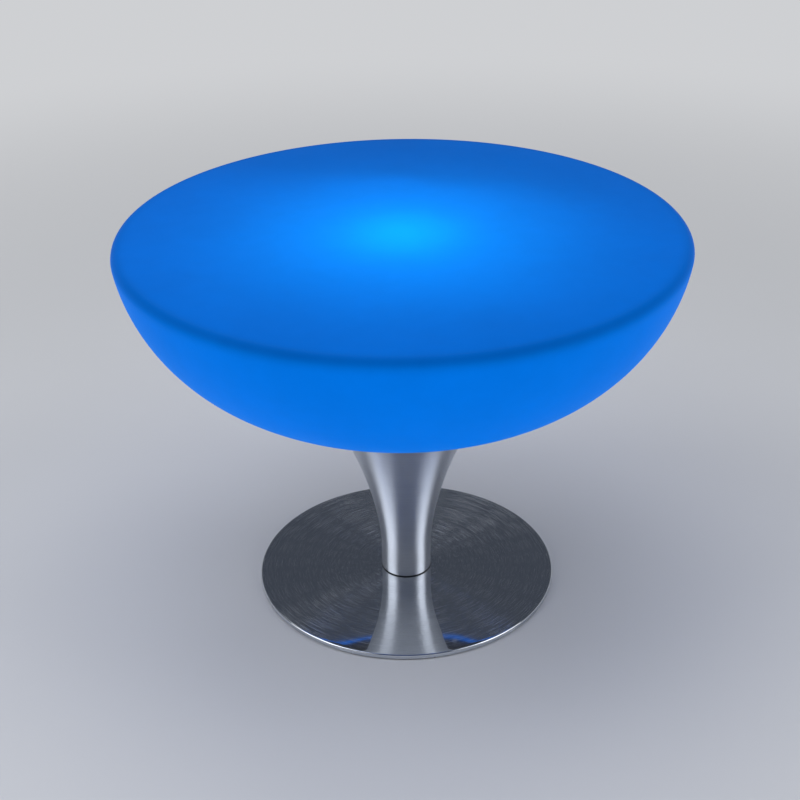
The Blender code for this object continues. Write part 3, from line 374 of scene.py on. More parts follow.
def block_mesh(name, low, high, rounding, segments=3):
    """Box with rounded edges."""
    shape = bmesh.new()
    size = Vector(high) - Vector(low)
    place = Matrix.Translation((Vector(high) + Vector(low)) / 2) @ Matrix.Diagonal((*size, 1.0))
    bmesh.ops.create_cube(shape, size=1.0, matrix=place)
    bmesh.ops.bevel(shape, geom=shape.edges, offset=rounding, segments=segments, profile=0.5,
                    affect="EDGES", clamp_overlap=True)
    return made_mesh(name, shape)


def prism_mesh(name, across, low, high):
    """Hexagon bar about the Z axis, this size across its flats."""
    sides = 6
    shape = bmesh.new()
    radius = across / 2 / math.cos(math.pi / sides)
    bmesh.ops.create_cone(shape, cap_ends=True, segments=sides, radius1=radius, radius2=radius,
                          depth=high - low, matrix=Matrix.Translation((0, 0, (high + low) / 2)))
    return made_mesh(name, shape)


def lofted_mesh(name, rings):
    """Skin over rings of points, closed at both ends."""
    shape = bmesh.new()
    loops = [[shape.verts.new(point) for point in ring] for ring in rings]
    for first, second in zip(loops, loops[1:]):
        for i in range(len(first)):
            shape.faces.new((first[i - 1], first[i], second[i], second[i - 1]))
    shape.faces.new(loops[0])
    shape.faces.new(loops[-1])
    bmesh.ops.recalc_face_normals(shape, faces=shape.faces)
    return made_mesh(name, shape)


def joined_mesh(name, meshes):
    """Several separate meshes as one."""
    shape = bmesh.new()
    for mesh in meshes:
        shape.from_mesh(mesh)
    return made_mesh(name, shape)


def knurled(mesh, radius, depth, steps):
    """The same turned mesh, with every second line of its outermost skin pressed in."""
    for vertex in mesh.vertices:
        x, y, _ = vertex.co
        reach = math.hypot(x, y)
        number = round(math.atan2(y, x) / math.tau * steps)
        if reach > radius - MERGE and number % 2:
            vertex.co.x *= 1 - depth / reach
            vertex.co.y *= 1 - depth / reach
    return mesh


def add_object(name, mesh):
    """Put a mesh, a lamp or a camera in the scene."""
    obj = bpy.data.objects.new(name, mesh)
    bpy.context.scene.collection.objects.link(obj)
    return obj


def evaluated(obj):
    """Mesh of an object with its modifiers applied."""
    bpy.context.view_layer.update()
    shaped = obj.evaluated_get(bpy.context.evaluated_depsgraph_get())
    return bpy.data.meshes.new_from_object(shaped)


def carve(mesh, tools, operation="DIFFERENCE"):
    """Cut tool meshes from a mesh, join them on, or keep what they share."""
    target = add_object(mesh.name, mesh)
    helpers = [add_object(tool.name, tool) for tool in tools]
    for helper in helpers:
        modifier = target.modifiers.new(helper.name, "BOOLEAN")
        modifier.operation = operation
        modifier.solver = "MANIFOLD"
        modifier.object = helper
    made = evaluated(target)
    for obj in [target] + helpers:
        bpy.data.objects.remove(obj, do_unlink=True)
    made.name = mesh.name
    return made


def over(mesh, node):
    """The same mesh, moved from the Z axis to a node's own upright axis."""
    spot = middle(node)
    mesh.transform(Matrix.Translation((spot.x, spot.y, 0.0)))
    return mesh


def drills(nodes, radius, low, high, steps=32):
    """Round cutters on the upright axes of some nodes."""
    outline = rod_outline(radius, low, high)
    return [over(turned_mesh("drill_" + node, outline, steps), node) for node in nodes]


def along_hinge(mesh):
    """The same mesh, moved from the Z axis to the hinge's own axis."""
    mesh.transform(Matrix.Translation(HINGE) @ Matrix.Rotation(math.pi / 2, 4, "X"))
    return mesh


def add_piece(name, mesh, node, look):
    """Put a mesh with this finish in the scene, on the body of a node."""
    mesh.materials.clear()
    mesh.materials.append(finish(look))
    mesh.shade_smooth()
    mesh.set_sharp_from_angle(angle=CREASE)
    piece = add_object(name, mesh)
    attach(piece, BODY_OF[node])
    return piece


def stand_for(name, mesh, node, look=None):
    """Put a finished piece in the place of its node. Its finish is the slot's, or this look of it."""
    piece = add_piece(name, mesh, node, look or SLOT_OF[node])
    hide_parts(node)


# Node trees


class Sheet:
    """A node tree, with short calls that add and join its nodes."""

    def __init__(self, tree):
        self.tree = tree

    def put(self, value, socket):
        """Set a socket to a value, or join it to another node's output."""
        if isinstance(value, bpy.types.NodeSocket):
            self.tree.links.new(value, socket)
        else:
            socket.default_value = value

    def add(self, kind, inputs=None, **settings):
        """Add a node with these settings and inputs."""
        node = self.tree.nodes.new("ShaderNode" + kind)
        for key, value in settings.items():
            setattr(node, key, value)
        for key, value in (inputs or {}).items():
            self.put(value, node.inputs[key])
        return node

    def math(self, operation, *values, clamp=False):
        """Result of this operation on numbers."""
        node = self.add("Math", dict(enumerate(values)), operation=operation, use_clamp=clamp)
        return node.outputs[0]

    def plus(self, first, second):
        """First and second together."""
        return self.math("ADD", first, second)

    def minus(self, first, second, clamp=False):
        """First less second."""
        return self.math("SUBTRACT", first, second, clamp=clamp)

    def times(self, first, second):
        """First times second."""
        return self.math("MULTIPLY", first, second)

    def raised(self, base, mask, share, clamp=False):
        """A base value with this share of a mask added."""
        return self.math("ADD", base, self.times(mask, share), clamp=clamp)

    def vector(self, operation, *values):
        """Result of this operation on vectors."""
        return self.add("VectorMath", dict(enumerate(values)), operation=operation).outputs[0]

    def scaled(self, vector, factor):
        """A vector or colour times a number."""
        return self.add("VectorMath", {"Vector": vector, "Scale": factor}, operation="SCALE").outputs[0]

    def fade(self, value, low=0.0, high=1.0, start=0.0, end=1.0):
        """A smooth step from one number to another."""
        node = self.add("MapRange", {0: value, 1: low, 2: high, 3: start, 4: end},
                        interpolation_type="SMOOTHSTEP")
        return node.outputs[0]

    def shaded(self, cloud, start, end):
        """From one number to another, over the range that a noise mostly fills."""
        return self.fade(cloud, low=0.3, high=0.7, start=start, end=end)

    def hill(self, value, width):
        """A round hill of height one about zero."""
        share = self.math("DIVIDE", value, width)
        return self.math("EXPONENT", self.times(self.times(share, share), -1.0))

    def mix(self, factor, first, second):
        """A blend of two colours."""
        node = self.add("Mix", {0: factor, 6: first, 7: second}, data_type="RGBA")
        return node.outputs[2]

    def noise(self, vector, scale, detail=2.0, roughness=0.5):
        """Cloudy noise between nought and one."""
        inputs = {"Vector": vector, "Scale": scale, "Detail": detail, "Roughness": roughness}
        return self.add("TexNoise", inputs).outputs[0]

    def split(self, vector):
        """The three parts of a vector."""
        return self.add("SeparateXYZ", {0: vector}).outputs[:3]

    def radius(self, vector):
        """Distance from the Z axis."""
        return self.add("VectorMath", {0: self.vector("MULTIPLY", vector, (1.0, 1.0, 0.0))},
                        operation="LENGTH").outputs["Value"]

    def group(self, tree, **inputs):
        """Outputs of a shared group with its own values. An underscore in a name stands for a space."""
        node = self.tree.nodes.new("ShaderNodeGroup")
        node.node_tree = tree
        for key, value in inputs.items():
            self.put(value, node.inputs[key.replace("_", " ")])
        return node.outputs

    def bump(self, height, distance, strength=1.0, normal=None):
        """Normal of a surface with this height on it, and on top of another bump's normal if one is given."""
        inputs = {"Height": height, "Distance": distance, "Strength": strength}
        if normal:
            inputs["Normal"] = normal
        return self.add("Bump", inputs).outputs["Normal"]


def shared_group(name, inputs, outputs):
    """Start a shader group, and give its tree, its inputs and its output node."""
    tree = bpy.data.node_groups.new(name, "ShaderNodeTree")
    for label, kind, value in inputs:
        socket = tree.interface.new_socket(label, in_out="INPUT", socket_type="NodeSocket" + kind)
        socket.default_value = value
    for label in outputs:
        tree.interface.new_socket(label, in_out="OUTPUT", socket_type="NodeSocketFloat")
    sheet = Sheet(tree)
    given = tree.nodes.new("NodeGroupInput").outputs
    result = tree.nodes.new("NodeGroupOutput").inputs
    return sheet, given, result


@cache
def moulded_grain():
    """Skin of plastic, rubber, powder coat and plating: a fine pebble, and a slow waviness under it."""
    sheet, given, result = shared_group("Moulded grain", [
        ("Vector", "Vector", (0, 0, 0)), ("Pebbles", "Float", 900.0), ("Waves", "Float", 30.0),
        ("Wave share", "Float", 0.3)], ["Height", "Shade"])
    pebble = sheet.noise(given["Vector"], given["Pebbles"], detail=3.0, roughness=0.6)
    wave = sheet.noise(given["Vector"], given["Waves"])
    sheet.put(sheet.raised(pebble, wave, given["Wave share"]), result["Height"])
    cloud = sheet.raised(wave, pebble, share=0.4)
    sheet.put(sheet.fade(cloud, low=0.4, start=0.94, end=1.06), result["Shade"])
    return sheet.tree


@cache
def brush_lines():
    """Lines that a brush leaves on turned metal, long along the brushing and fine across it."""
    sheet, given, result = shared_group("Brush lines", [
        ("Across", "Float", 0.0), ("Direction", "Vector", (1, 0, 0)), ("Lines", "Float", 1400.0),
        ("Arc", "Float", 6.0), ("Coarse", "Float", 1.0)], ["Height", "Scratch", "Shade"])
    clear_of_axis = (0.0, 7.3, 3.1)

    def lines(line_share, arc_share, detail):
        """One layer of lines, with this share of both densities."""
        run = sheet.times(given["Across"], sheet.times(given["Lines"], line_share))
        turn = sheet.scaled(given["Direction"], sheet.times(given["Arc"], arc_share))
        here = sheet.vector("ADD", sheet.add("CombineXYZ", {0: run}).outputs[0],
                            sheet.vector("ADD", turn, clear_of_axis))
        return sheet.noise(here, scale=1.0, detail=detail, roughness=0.6)

    fine = lines(line_share=1.0, arc_share=1.0, detail=3.0)
    wide = lines(line_share=0.16, arc_share=0.5, detail=2.0)
    height = sheet.add("Mix", {0: sheet.times(given["Coarse"], 0.4), 2: fine, 3: wide}).outputs[0]
    sheet.put(height, result["Height"])
    sheet.put(sheet.fade(fine, low=0.52, high=0.64), result["Scratch"])
    sheet.put(sheet.shaded(height, start=0.92, end=1.05), result["Shade"])
    return sheet.tree


@cache
def smudges():
    """Patches where hands, cloths and dust have dulled a surface."""
    sheet, given, result = shared_group("Smudges", [
        ("Vector", "Vector", (0, 0, 0)), ("Scale", "Float", 9.0), ("Cover", "Float", 0.4)], ["Mask"])
    cloud = sheet.noise(given["Vector"], given["Scale"], detail=5.0, roughness=0.6)
    wipe = sheet.vector("MULTIPLY", given["Vector"], (1.0, 3.5, 1.0))
    streak = sheet.noise(wipe, sheet.times(given["Scale"], 3.0), detail=3.0, roughness=0.6)
    both = sheet.raised(sheet.times(cloud, 0.65), streak, share=0.35)
    edge = sheet.minus(0.75, sheet.times(given["Cover"], 0.4))
    sheet.put(sheet.fade(both, edge, sheet.plus(edge, 0.16)), result["Mask"])
    return sheet.tree


class Finish(Sheet):
    """A material's node tree with its shader. Places on the piece are measured from a centre."""

    def __init__(self, name, centre=(0.0, 0.0, 0.0), **sockets):
        self.material = bpy.data.materials.new(name)
        self.material.use_nodes = True
        super().__init__(self.material.node_tree)
        self.shader = self.tree.nodes["Principled BSDF"]
        self.here = self.vector("SUBTRACT", self.add("TexCoord").outputs["Object"], centre)
        self.shade = 1.0
        self.set(**sockets)

    def set(self, **sockets):
        """Set or join the shader's sockets. An underscore in a name stands for a space."""
        for key, value in sockets.items():
            self.put(value, self.shader.inputs[key.replace("_", " ")])

    def coloured(self, base, shade):
        """Base colour times a shade that changes over the surface."""
        self.shade = shade
        self.set(Base_Color=self.scaled(tuple(base), shade))

    def brushed(self, across, lines, arc, coarse=1.0):
        """Brush marks round the axis, and the direction in which they stretch the highlights."""
        direction = self.vector("NORMALIZE", self.vector("MULTIPLY", self.here, (1.0, 1.0, 0.0)))
        self.set(Tangent=self.add("Tangent", direction_type="RADIAL", axis="Z").outputs[0])
        return self.group(brush_lines(), Across=across, Direction=direction, Lines=lines, Arc=arc,
                          Coarse=coarse)

    def smudged(self, scale, cover):
        """Mask of the places that hands and dust have dulled."""
        return self.group(smudges(), Vector=self.here, Scale=scale, Cover=cover)["Mask"]


# Materials, one function for each slot of the record and for each look of the stainless steel


def bowl_plastic():
    """Plastic lit from inside, its base colour painted dark blue like its light: brightest over the lamp, with
    painted shade at the back and along the rounded rim, and painted light low on the side.
    """
    look = bpy.context.scene.table_bowl
    sheet = Finish("bowl_plastic", Specular_IOR_Level=0.02, Specular_Tint=(0.1, 0.4, 1.0, 1.0),
                   Emission_Strength=1.0)
    x, y, z = sheet.split(sheet.here)

    from_lamp = sheet.radius(sheet.vector("SUBTRACT", sheet.here, (0.0, -look.lamp_shift, 0.0)))
    wide = sheet.scaled(tuple(look.wide_glow), sheet.hill(from_lamp, look.wide_reach))
    spot = sheet.scaled(tuple(look.spot_glow), sheet.hill(from_lamp, look.spot_reach))
    top = sheet.vector("ADD", sheet.vector("ADD", wide, spot), tuple(look.top_glow))
    # Painted shade: behind a soft curved edge at the back, the top's glow is painted dimmer, least at the sides
    behind = sheet.raised(y, sheet.math("MAXIMUM", x, 0.0), look.back_lean)
    aside = sheet.math("ABSOLUTE", x)
    blur = sheet.math("MULTIPLY_ADD", aside, look.back_widening, look.back_blur)
    light = sheet.math("MULTIPLY_ADD", aside, look.back_lift, look.back_light)
    top = sheet.scaled(top, sheet.fade(behind, sheet.minus(look.back_edge, blur),
                                       sheet.plus(look.back_edge, blur), start=1.02, end=light))
    top = sheet.scaled(top, sheet.fade(y, low=-0.38, high=-0.22, start=0.95))
    # Painted light: the side's glow is a little brighter low down, making up for the studio lamps' shade under the
    # bowl
    painted_low_light = sheet.fade(z, BOWL_LOW.z, BOWL_HIGH.z, start=1.04, end=0.98)
    side = sheet.scaled(tuple(look.side_glow), painted_low_light)
    on_top = sheet.fade(z, BOWL_HIGH.z - look.rim_round, BOWL_HIGH.z - look.rim_round * 0.1)
    glow = sheet.mix(on_top, side, top)

    # Painted shade: the glow is painted darker along the rounded rim, most in front
    inset = look.rim_round * 0.45
    outward = sheet.minus(sheet.radius(sheet.here), BOWL_HIGH.x - inset)
    upward = sheet.minus(z, BOWL_HIGH.z - inset)
    squares = sheet.plus(sheet.times(outward, outward), sheet.times(upward, upward))
    rim_shade_hill = sheet.hill(sheet.math("POWER", squares, 0.5), look.rim_round * 0.85)
    depth = sheet.fade(y, low=-0.36, high=-0.06, start=look.front_rim_shade, end=look.side_rim_shade)
    shade = sheet.minus(1.0, sheet.times(rim_shade_hill, depth))
    flow = sheet.noise(sheet.here, scale=5.5, detail=3.0, roughness=0.55)
    cloud = sheet.noise(sheet.here, scale=42.0, detail=3.0, roughness=0.6)
    mottle = sheet.plus(sheet.shaded(flow, start=-0.03, end=0.03),
                        sheet.shaded(cloud, start=-0.012, end=0.012))
    left = sheet.fade(x, BOWL_LOW.x, BOWL_HIGH.x, start=0.015, end=-0.015)
    uneven = sheet.plus(1.0, sheet.plus(mottle, left))
    sheet.set(Emission_Color=sheet.scaled(glow, sheet.times(shade, uneven)))

    grain = sheet.group(moulded_grain(), Vector=sheet.here, Pebbles=1500.0, Waves=16.0, Wave_share=0.5)
    rough = sheet.raised(base=0.42, mask=grain["Height"], share=0.12)
    # Base colour of the plastic painted dark blue, a painted stand-in for the lamp's blue light
    sheet.coloured(look.plastic, grain["Shade"])
    sheet.set(Roughness=sheet.raised(rough, sheet.smudged(scale=14.0, cover=0.35), share=0.10),
              Normal=sheet.bump(grain["Height"], distance=0.00012, strength=0.6))
    return sheet.material


def brushed_steel(name, lines, centre=(0.0, 0.0, 0.0), upright=False, polish=0.055, scratch=0.28,
                  coarse=0.5, relief=0.4, wave=0.0, stretch=0.95, smears=0.12):
    """Stainless steel brushed round the axis. Polish is its roughness between the scratches."""
    sheet = Finish(name, centre, Metallic=1.0, Anisotropic=stretch, Anisotropic_Rotation=0.25)
    across = sheet.split(sheet.here)[2] if upright else sheet.radius(sheet.here)
    brush = sheet.brushed(across, lines, arc=5.0, coarse=coarse)
    dull = sheet.smudged(scale=11.0, cover=0.34)
    rough = sheet.raised(polish, brush["Scratch"], scratch)
    slow = sheet.bump(sheet.noise(sheet.here, scale=17.0, detail=1.0), wave)
    sheet.coloured(bpy.context.scene.table_finish.steel, sheet.raised(brush["Shade"], dull, share=0.05))
    sheet.set(Roughness=sheet.raised(rough, dull, smears),
              Normal=sheet.bump(brush["Height"], SCRATCH_DEPTH, relief, slow))
    return sheet.material


def stainless():
    """Small turned steel pieces."""
    return brushed_steel("stainless", lines=5000.0)


def stainless_column():
    """The spun column."""
    return brushed_steel("stainless_column", lines=3200.0, upright=True, polish=0.36, scratch=0.12,
                         coarse=0.12, relief=0.25, stretch=0.6)


def stainless_cover():
    """The base cover."""
    return brushed_steel("stainless_cover", lines=4200.0, polish=0.035, coarse=0.15,
                         relief=0.06, wave=0.00015, smears=0.02)


def stainless_button():
    """The push button and its bezel, brushed round their own axis."""
    return brushed_steel("stainless_button", lines=6000.0, centre=tuple(middle("button_nut")))


def skin(name, colour, roughness, pebbles, depth, specular=0.5):
    """A finish that isn't metal, with a moulded or sprayed grain."""
    spread = 0.12
    sheet = Finish(name, Specular_IOR_Level=specular)
    grain = sheet.group(moulded_grain(), Vector=sheet.here, Pebbles=pebbles, Waves=pebbles / 25.0)
    rough = sheet.raised(roughness - spread / 2, grain["Height"], spread)
    sheet.coloured(colour, grain["Shade"])
    dull = sheet.smudged(scale=14.0, cover=0.35)
    sheet.set(Roughness=sheet.raised(rough, dull, share=0.08, clamp=True),
              Normal=sheet.bump(grain["Height"], depth))
    return sheet


def black_coat():
    """Powder coat of the underside plate, rubbed a little along its edge."""
    black = bpy.context.scene.table_finish.black
    worn_width = 0.0012
    sheet = skin("black_coat", black, roughness=0.46, pebbles=1100.0, depth=0.00012)
    from_edge = sheet.math("ABSOLUTE", sheet.minus(PLATE_HIGH.x, sheet.radius(sheet.here)))
    near = sheet.minus(1.0, sheet.math("DIVIDE", from_edge, worn_width), clamp=True)
    breaks = sheet.noise(sheet.here, scale=160.0, detail=4.0, roughness=0.65)
    worn = sheet.times(near, sheet.fade(breaks, low=0.42, high=0.62))
    dark = sheet.scaled(tuple(black), sheet.shade)
    sheet.set(Base_Color=sheet.mix(worn, dark, (0.05, 0.052, 0.055, 1.0)))
    return sheet.material


def metal(name, colour, roughness, crystals):
    """Plated or turned metal, mottled by its crystals."""
    sheet = Finish(name, Metallic=1.0)
    cells = sheet.add("TexVoronoi", {"Vector": sheet.here, "Scale": crystals}).outputs["Color"]
    spangle = sheet.add("SeparateColor", {0: cells}).outputs[0]
    grain = sheet.group(moulded_grain(), Vector=sheet.here, Pebbles=crystals * 4.0, Waves=crystals / 3.0)
    sheet.coloured(colour, sheet.times(grain["Shade"], sheet.fade(spangle, start=0.92, end=1.05)))
    sheet.set(Roughness=sheet.plus(roughness, sheet.fade(spangle, start=-0.06, end=0.06)),
              Normal=sheet.bump(grain["Height"], distance=0.00002))
    return sheet.material


def zinc_steel():
    """Zinc plated screws, nuts and flanges."""
    return metal("zinc_steel", bpy.context.scene.table_finish.zinc, roughness=0.30, crystals=900.0)


def brass():
    """Turned brass of the inserts."""
    return metal("brass", (0.56, 0.33, 0.08), roughness=0.30, crystals=1600.0)


def black_iron():
    """Primer on the weight."""
    return skin("black_iron", (0.019, 0.020, 0.023), roughness=0.68, pebbles=600.0, depth=0.0002).material


def rubber():
    """Matte black rubber."""
    return skin("rubber", (0.012, 0.012, 0.013), roughness=0.78, pebbles=1800.0, depth=0.00008,
                specular=0.3).material


def foam():
    """Closed cell foam of the bowl's seal."""
    sheet = skin("foam", (0.024, 0.025, 0.027), roughness=0.88, pebbles=1400.0, depth=0.0001, specular=0.2)
    cells = sheet.add("TexVoronoi", {"Vector": sheet.here, "Scale": 1500.0}).outputs["Distance"]
    sheet.set(Normal=sheet.bump(cells, distance=0.0003))
    return sheet.material


def aluminium():
    """Spun aluminium of the tray and the strap."""
    sheet = Finish("aluminium", Metallic=1.0, Anisotropic=0.6, Anisotropic_Rotation=0.25)
    brush = sheet.brushed(sheet.radius(sheet.here), bpy.context.scene.table_finish.lines, arc=3.0)
    sheet.coloured((0.60, 0.61, 0.62), brush["Shade"])
    sheet.set(Roughness=sheet.raised(base=0.30, mask=brush["Scratch"], share=0.15))
    return sheet.material


def board(name, mask, track, pad):
    """A circuit board: solder mask over copper tracks, with tinned pads."""
    sheet = Finish(name)
    tracks = sheet.add("TexBrick", {"Vector": sheet.here, "Scale": 120.0, "Mortar Size": 0.06,
                                    "Brick Width": 0.9, "Row Height": 0.22}).outputs["Fac"]
    dots = sheet.add("TexVoronoi", {"Vector": sheet.here, "Scale": 130.0, "Randomness": 0.35})
    pads = sheet.fade(dots.outputs["Distance"], low=0.10, high=0.13, start=1.0, end=0.0)
    colour = sheet.mix(tracks, (*mask, 1.0), (*track, 1.0))
    sheet.set(Base_Color=sheet.mix(pads, colour, (*pad, 1.0)), Metallic=pads,
              Roughness=sheet.fade(pads, start=0.38, end=0.28),
              Normal=sheet.bump(sheet.raised(pads, tracks, share=0.5), distance=0.00008))
    return sheet.material


def white_board():
    """Lamp board with a white solder mask."""
    return board("white_board", mask=(0.80, 0.82, 0.82), track=(0.74, 0.76, 0.76), pad=(0.70, 0.70, 0.68))


def green_board():
    """Control board with a green solder mask."""
    return board("green_board", mask=(0.010, 0.090, 0.036), track=(0.022, 0.150, 0.062),
                 pad=(0.66, 0.62, 0.50))


def led_lens():
    """Clear resin over the yellow phosphor."""
    sheet = skin("led_lens", (0.90, 0.74, 0.28), roughness=0.22, pebbles=2500.0, depth=0.00002)
    sheet.set(Coat_Weight=0.5)
    return sheet.material


def frosted():
    """Diffuser over the lamp."""
    return skin("frosted", (0.84, 0.87, 0.90), roughness=0.52, pebbles=1400.0, depth=0.00006).material


def blue_wrap():
    """Shrunk film round the cells, with its creases, painted darker in their hollows and lighter on their ridges.
    """
    blue = (0.012, 0.075, 0.340)
    sheet = skin("blue_wrap", blue, roughness=0.34, pebbles=700.0, depth=0.00002)
    along = sheet.vector("MULTIPLY", sheet.here, (1.0, 4.0, 1.0))
    crease = sheet.noise(along, scale=90.0, detail=4.0, roughness=0.6)
    # Painted shade and light: the film's colour follows the crease height, darker in the hollows and lighter on
    # the ridges
    sheet.coloured(blue, sheet.times(sheet.shade, sheet.shaded(crease, start=0.85, end=1.1)))
    sheet.set(Normal=sheet.bump(crease, distance=0.0006, strength=0.7))
    return sheet.material


def case_plastic():
    """Spark textured plastic of the control case."""
    return skin("case_plastic", (0.66, 0.68, 0.68), roughness=0.56, pebbles=1500.0, depth=0.00012).material


def socket_plastic():
    """Black moulded plastic of the charge socket."""
    return skin("socket_plastic", (0.014, 0.015, 0.016), roughness=0.48, pebbles=2600.0,
                depth=0.00005).material


def lead_sleeve():
    """Braided sleeve of the leads."""
    sheet = skin("lead_sleeve", (0.012, 0.012, 0.013), roughness=0.62, pebbles=1500.0, depth=0.0001)
    weave = sheet.add("TexChecker", {"Vector": sheet.here, "Scale": 1600.0}).outputs["Fac"]
    sheet.set(Normal=sheet.bump(weave, distance=0.0002, strength=0.6))
    return sheet.material


MAKERS = {make.__name__: make for make in (
    bowl_plastic, stainless, stainless_column, stainless_cover, stainless_button, black_coat, zinc_steel,
    black_iron, rubber, foam, brass, aluminium, white_board, green_board, led_lens, frosted, blue_wrap,
    case_plastic, socket_plastic, lead_sleeve)}


@cache
def finish(name):
    """The material of this name, made the first time that it is asked for."""
    return MAKERS[name]()


# Shapes


def bowl_surface(sizes, offset, bottom, rim_points, side_points):
    """One surface of the bowl, this far inside its outer face, from the middle of the top down."""
    rim_level = BOWL_HIGH.z - sizes.rim_round
    rim_centre = BOWL_HIGH.x - sizes.rim_round
    side_level = BOWL_HIGH.z + sizes.side_rise
    side_centre = rim_centre - math.sqrt((sizes.side_radius - sizes.rim_round) ** 2
                                         - (sizes.rim_round + sizes.side_rise) ** 2)
    start = math.atan2(rim_level - side_level, rim_centre - side_centre)
    points = [(BOWL_HIGH.x * share, BOWL_HIGH.z - offset) for share in (0.0, 0.3, 0.6, 0.85)]
    points += arc(rim_centre, rim_level, sizes.rim_round - offset, math.pi / 2, 0.0, count=rim_points)
    points += arc(rim_centre, rim_level, sizes.rim_round - offset, 0.0, start, count=3)[1:]
    radius = sizes.side_radius - offset
    end = -math.asin((side_level - bottom) / radius)
    points += arc(side_centre, side_level, radius, start, end, count=side_points)[1:]
    return points, side_centre


def bowl_mesh(sizes):
    """The moulded shell with the ring turned in round its opening."""
    bottom = BOWL_LOW.z
    corner_level = bottom + sizes.corner
    side_level = BOWL_HIGH.z + sizes.side_rise
    tilt = math.asin((side_level - corner_level) / (sizes.side_radius - sizes.corner))
    outer_end = side_level - sizes.side_radius * math.sin(tilt)
    outer, side_centre = bowl_surface(sizes, 0.0, outer_end, rim_points=14, side_points=48)
    corner_centre = side_centre + (sizes.side_radius - sizes.corner) * math.cos(tilt)
    outer += arc(corner_centre, corner_level, sizes.corner, -tilt, -math.pi / 2, count=8)[1:]
    ring_top = bottom + sizes.ring_thickness
    opening = corner_centre - sizes.ring_width
    inner, _ = bowl_surface(sizes, sizes.wall, ring_top, rim_points=8, side_points=32)
    ring = softened([(corner_centre, bottom, 0.0), (opening, bottom, sizes.ring_edge),
                     (opening, ring_top, sizes.ring_edge), (inner[-1][0], ring_top, 0.0)])[1:-1]
    mesh = turned_mesh("bowl_moulding", outer + ring + inner[::-1], steps=192)
    return carve(mesh, drills(BOWL_INSERTS, sizes.insert_hole, bottom - OVERRUN, ring_top + OVERRUN))


def plate_mesh(sizes):
    """Round plate with all its holes."""
    low = PLATE_LOW.z
    high = PLATE_HIGH.z
    edge = sizes.plate_edge
    mesh = turned_mesh("underside_disc", softened([
        (sizes.plate_bore, high, edge / 2), (PLATE_HIGH.x, high, edge), (PLATE_HIGH.x, low, edge),
        (sizes.plate_bore, low, edge / 2)]), steps=192)
    holes = [(BOWL_SCREWS, sizes.screw_shank), (FLANGE_BOLTS, sizes.bolt_shank),
             (SMALL_SCREWS, sizes.small_shank), (["button_nut"], sizes.housing),
             (["socket_nut"], sizes.socket)]
    tools = []
    for nodes, radius in holes:
        tools += drills(nodes, radius + GAP, low - OVERRUN, high + OVERRUN, steps=40)
    return carve(mesh, tools)


def pan_screw_mesh(sizes, node):
    """Pan head below, hexagon recess, shank up into the insert."""
    low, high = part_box(node)
    head = sizes.screw_head
    shank = sizes.screw_shank
    head_top = PLATE_LOW.z - GAP
    rise = head_top - low.z
    shoulder_round = 0.0012
    face_round = 0.0010
    mesh = turned_mesh(node, softened([
        (0.0, high.z, 0.0), (shank, high.z, SOFT), (shank, head_top, 0.0), (head, head_top, CUT),
        (head, head_top - rise * 0.45, shoulder_round), (head * 0.68, low.z, face_round),
        (0.0, low.z, 0.0)], steps=5), steps=48)
    recess = prism_mesh(node + "_recess", sizes.hex_key, low.z - OVERRUN, low.z + rise * 0.6)
    return over(carve(mesh, [recess]), node)


def column_mesh(sizes):
    """Spun trumpet, open at both ends, with softened lips."""
    bottom = COLUMN_LOW.z
    lip = COLUMN_HIGH.z
    start = bottom + sizes.foot_height
    reach = lip - start
    widen = COLUMN_HIGH.x - sizes.foot_radius
    count = 72
    outer = []
    inner = []
    for i in range(count + 1):
        level = lip - reach * i / count
        share = (level - start) / reach
        radius = sizes.foot_radius + widen * share ** sizes.power
        slope = sizes.power * widen / reach * share ** (sizes.power - 1.0)
        outer.append((radius, level))
        inner.append((radius - sizes.wall * math.sqrt(1.0 + slope ** 2), level))
    foot_inside = sizes.foot_radius - sizes.wall
    levels = [start - sizes.foot_height * share for share in (0.25, 0.5, 0.75)]
    outer += [(sizes.foot_radius, level) for level in levels]
    inner += [(foot_inside, level) for level in levels]
    edge = sizes.edge
    corners = [(*outer[0], edge)] + plain(outer[1:])
    corners += [(sizes.foot_radius, bottom, edge), (foot_inside, bottom, edge)]
    corners += plain(inner[:0:-1]) + [(*inner[0], edge)]
    return turned_mesh("column_trumpet", softened(corners), steps=192)


def gasket_mesh(sizes):
    """Thin gasket under the column."""
    low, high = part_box("foot_gasket")
    inner = sizes.foot_radius - sizes.wall
    edge = (high.z - low.z) * 0.35
    return turned_mesh("foot_seal", softened([
        (inner, high.z, 0.0), (high.x, high.z, edge), (high.x, low.z, edge), (inner, low.z, 0.0)]),
        steps=128)


def cover_mesh(sizes):
    """Pressed cover: a top that falls a little towards its rim, rounded edge and short skirt."""
    top = COVER_HIGH.z
    side = COVER_HIGH.x - sizes.cover_round
    level = top - sizes.cover_round
    inside = sizes.cover_round - sizes.sheet
    flat = sizes.fall_start - sizes.bore
    outline = [(sizes.bore + flat * share, top) for share in (0.0, 0.4, 0.8)]
    count = 20
    for i in range(count):
        share = i / count
        radius = sizes.fall_start + (side - sizes.fall_start) * share
        outline.append((radius, top - sizes.fall * share ** 2))
    outline += arc(side, level - sizes.fall, sizes.cover_round, math.pi / 2, 0.0, count=12)
    outline += [(COVER_HIGH.x, COVER_LOW.z), (COVER_HIGH.x - sizes.sheet, COVER_LOW.z)]
    outline += arc(side, level, inside, 0.0, math.pi / 2, count=8)
    outline.append((sizes.bore, top - sizes.sheet))
    return turned_mesh("base_cover_pressing", outline, steps=256)


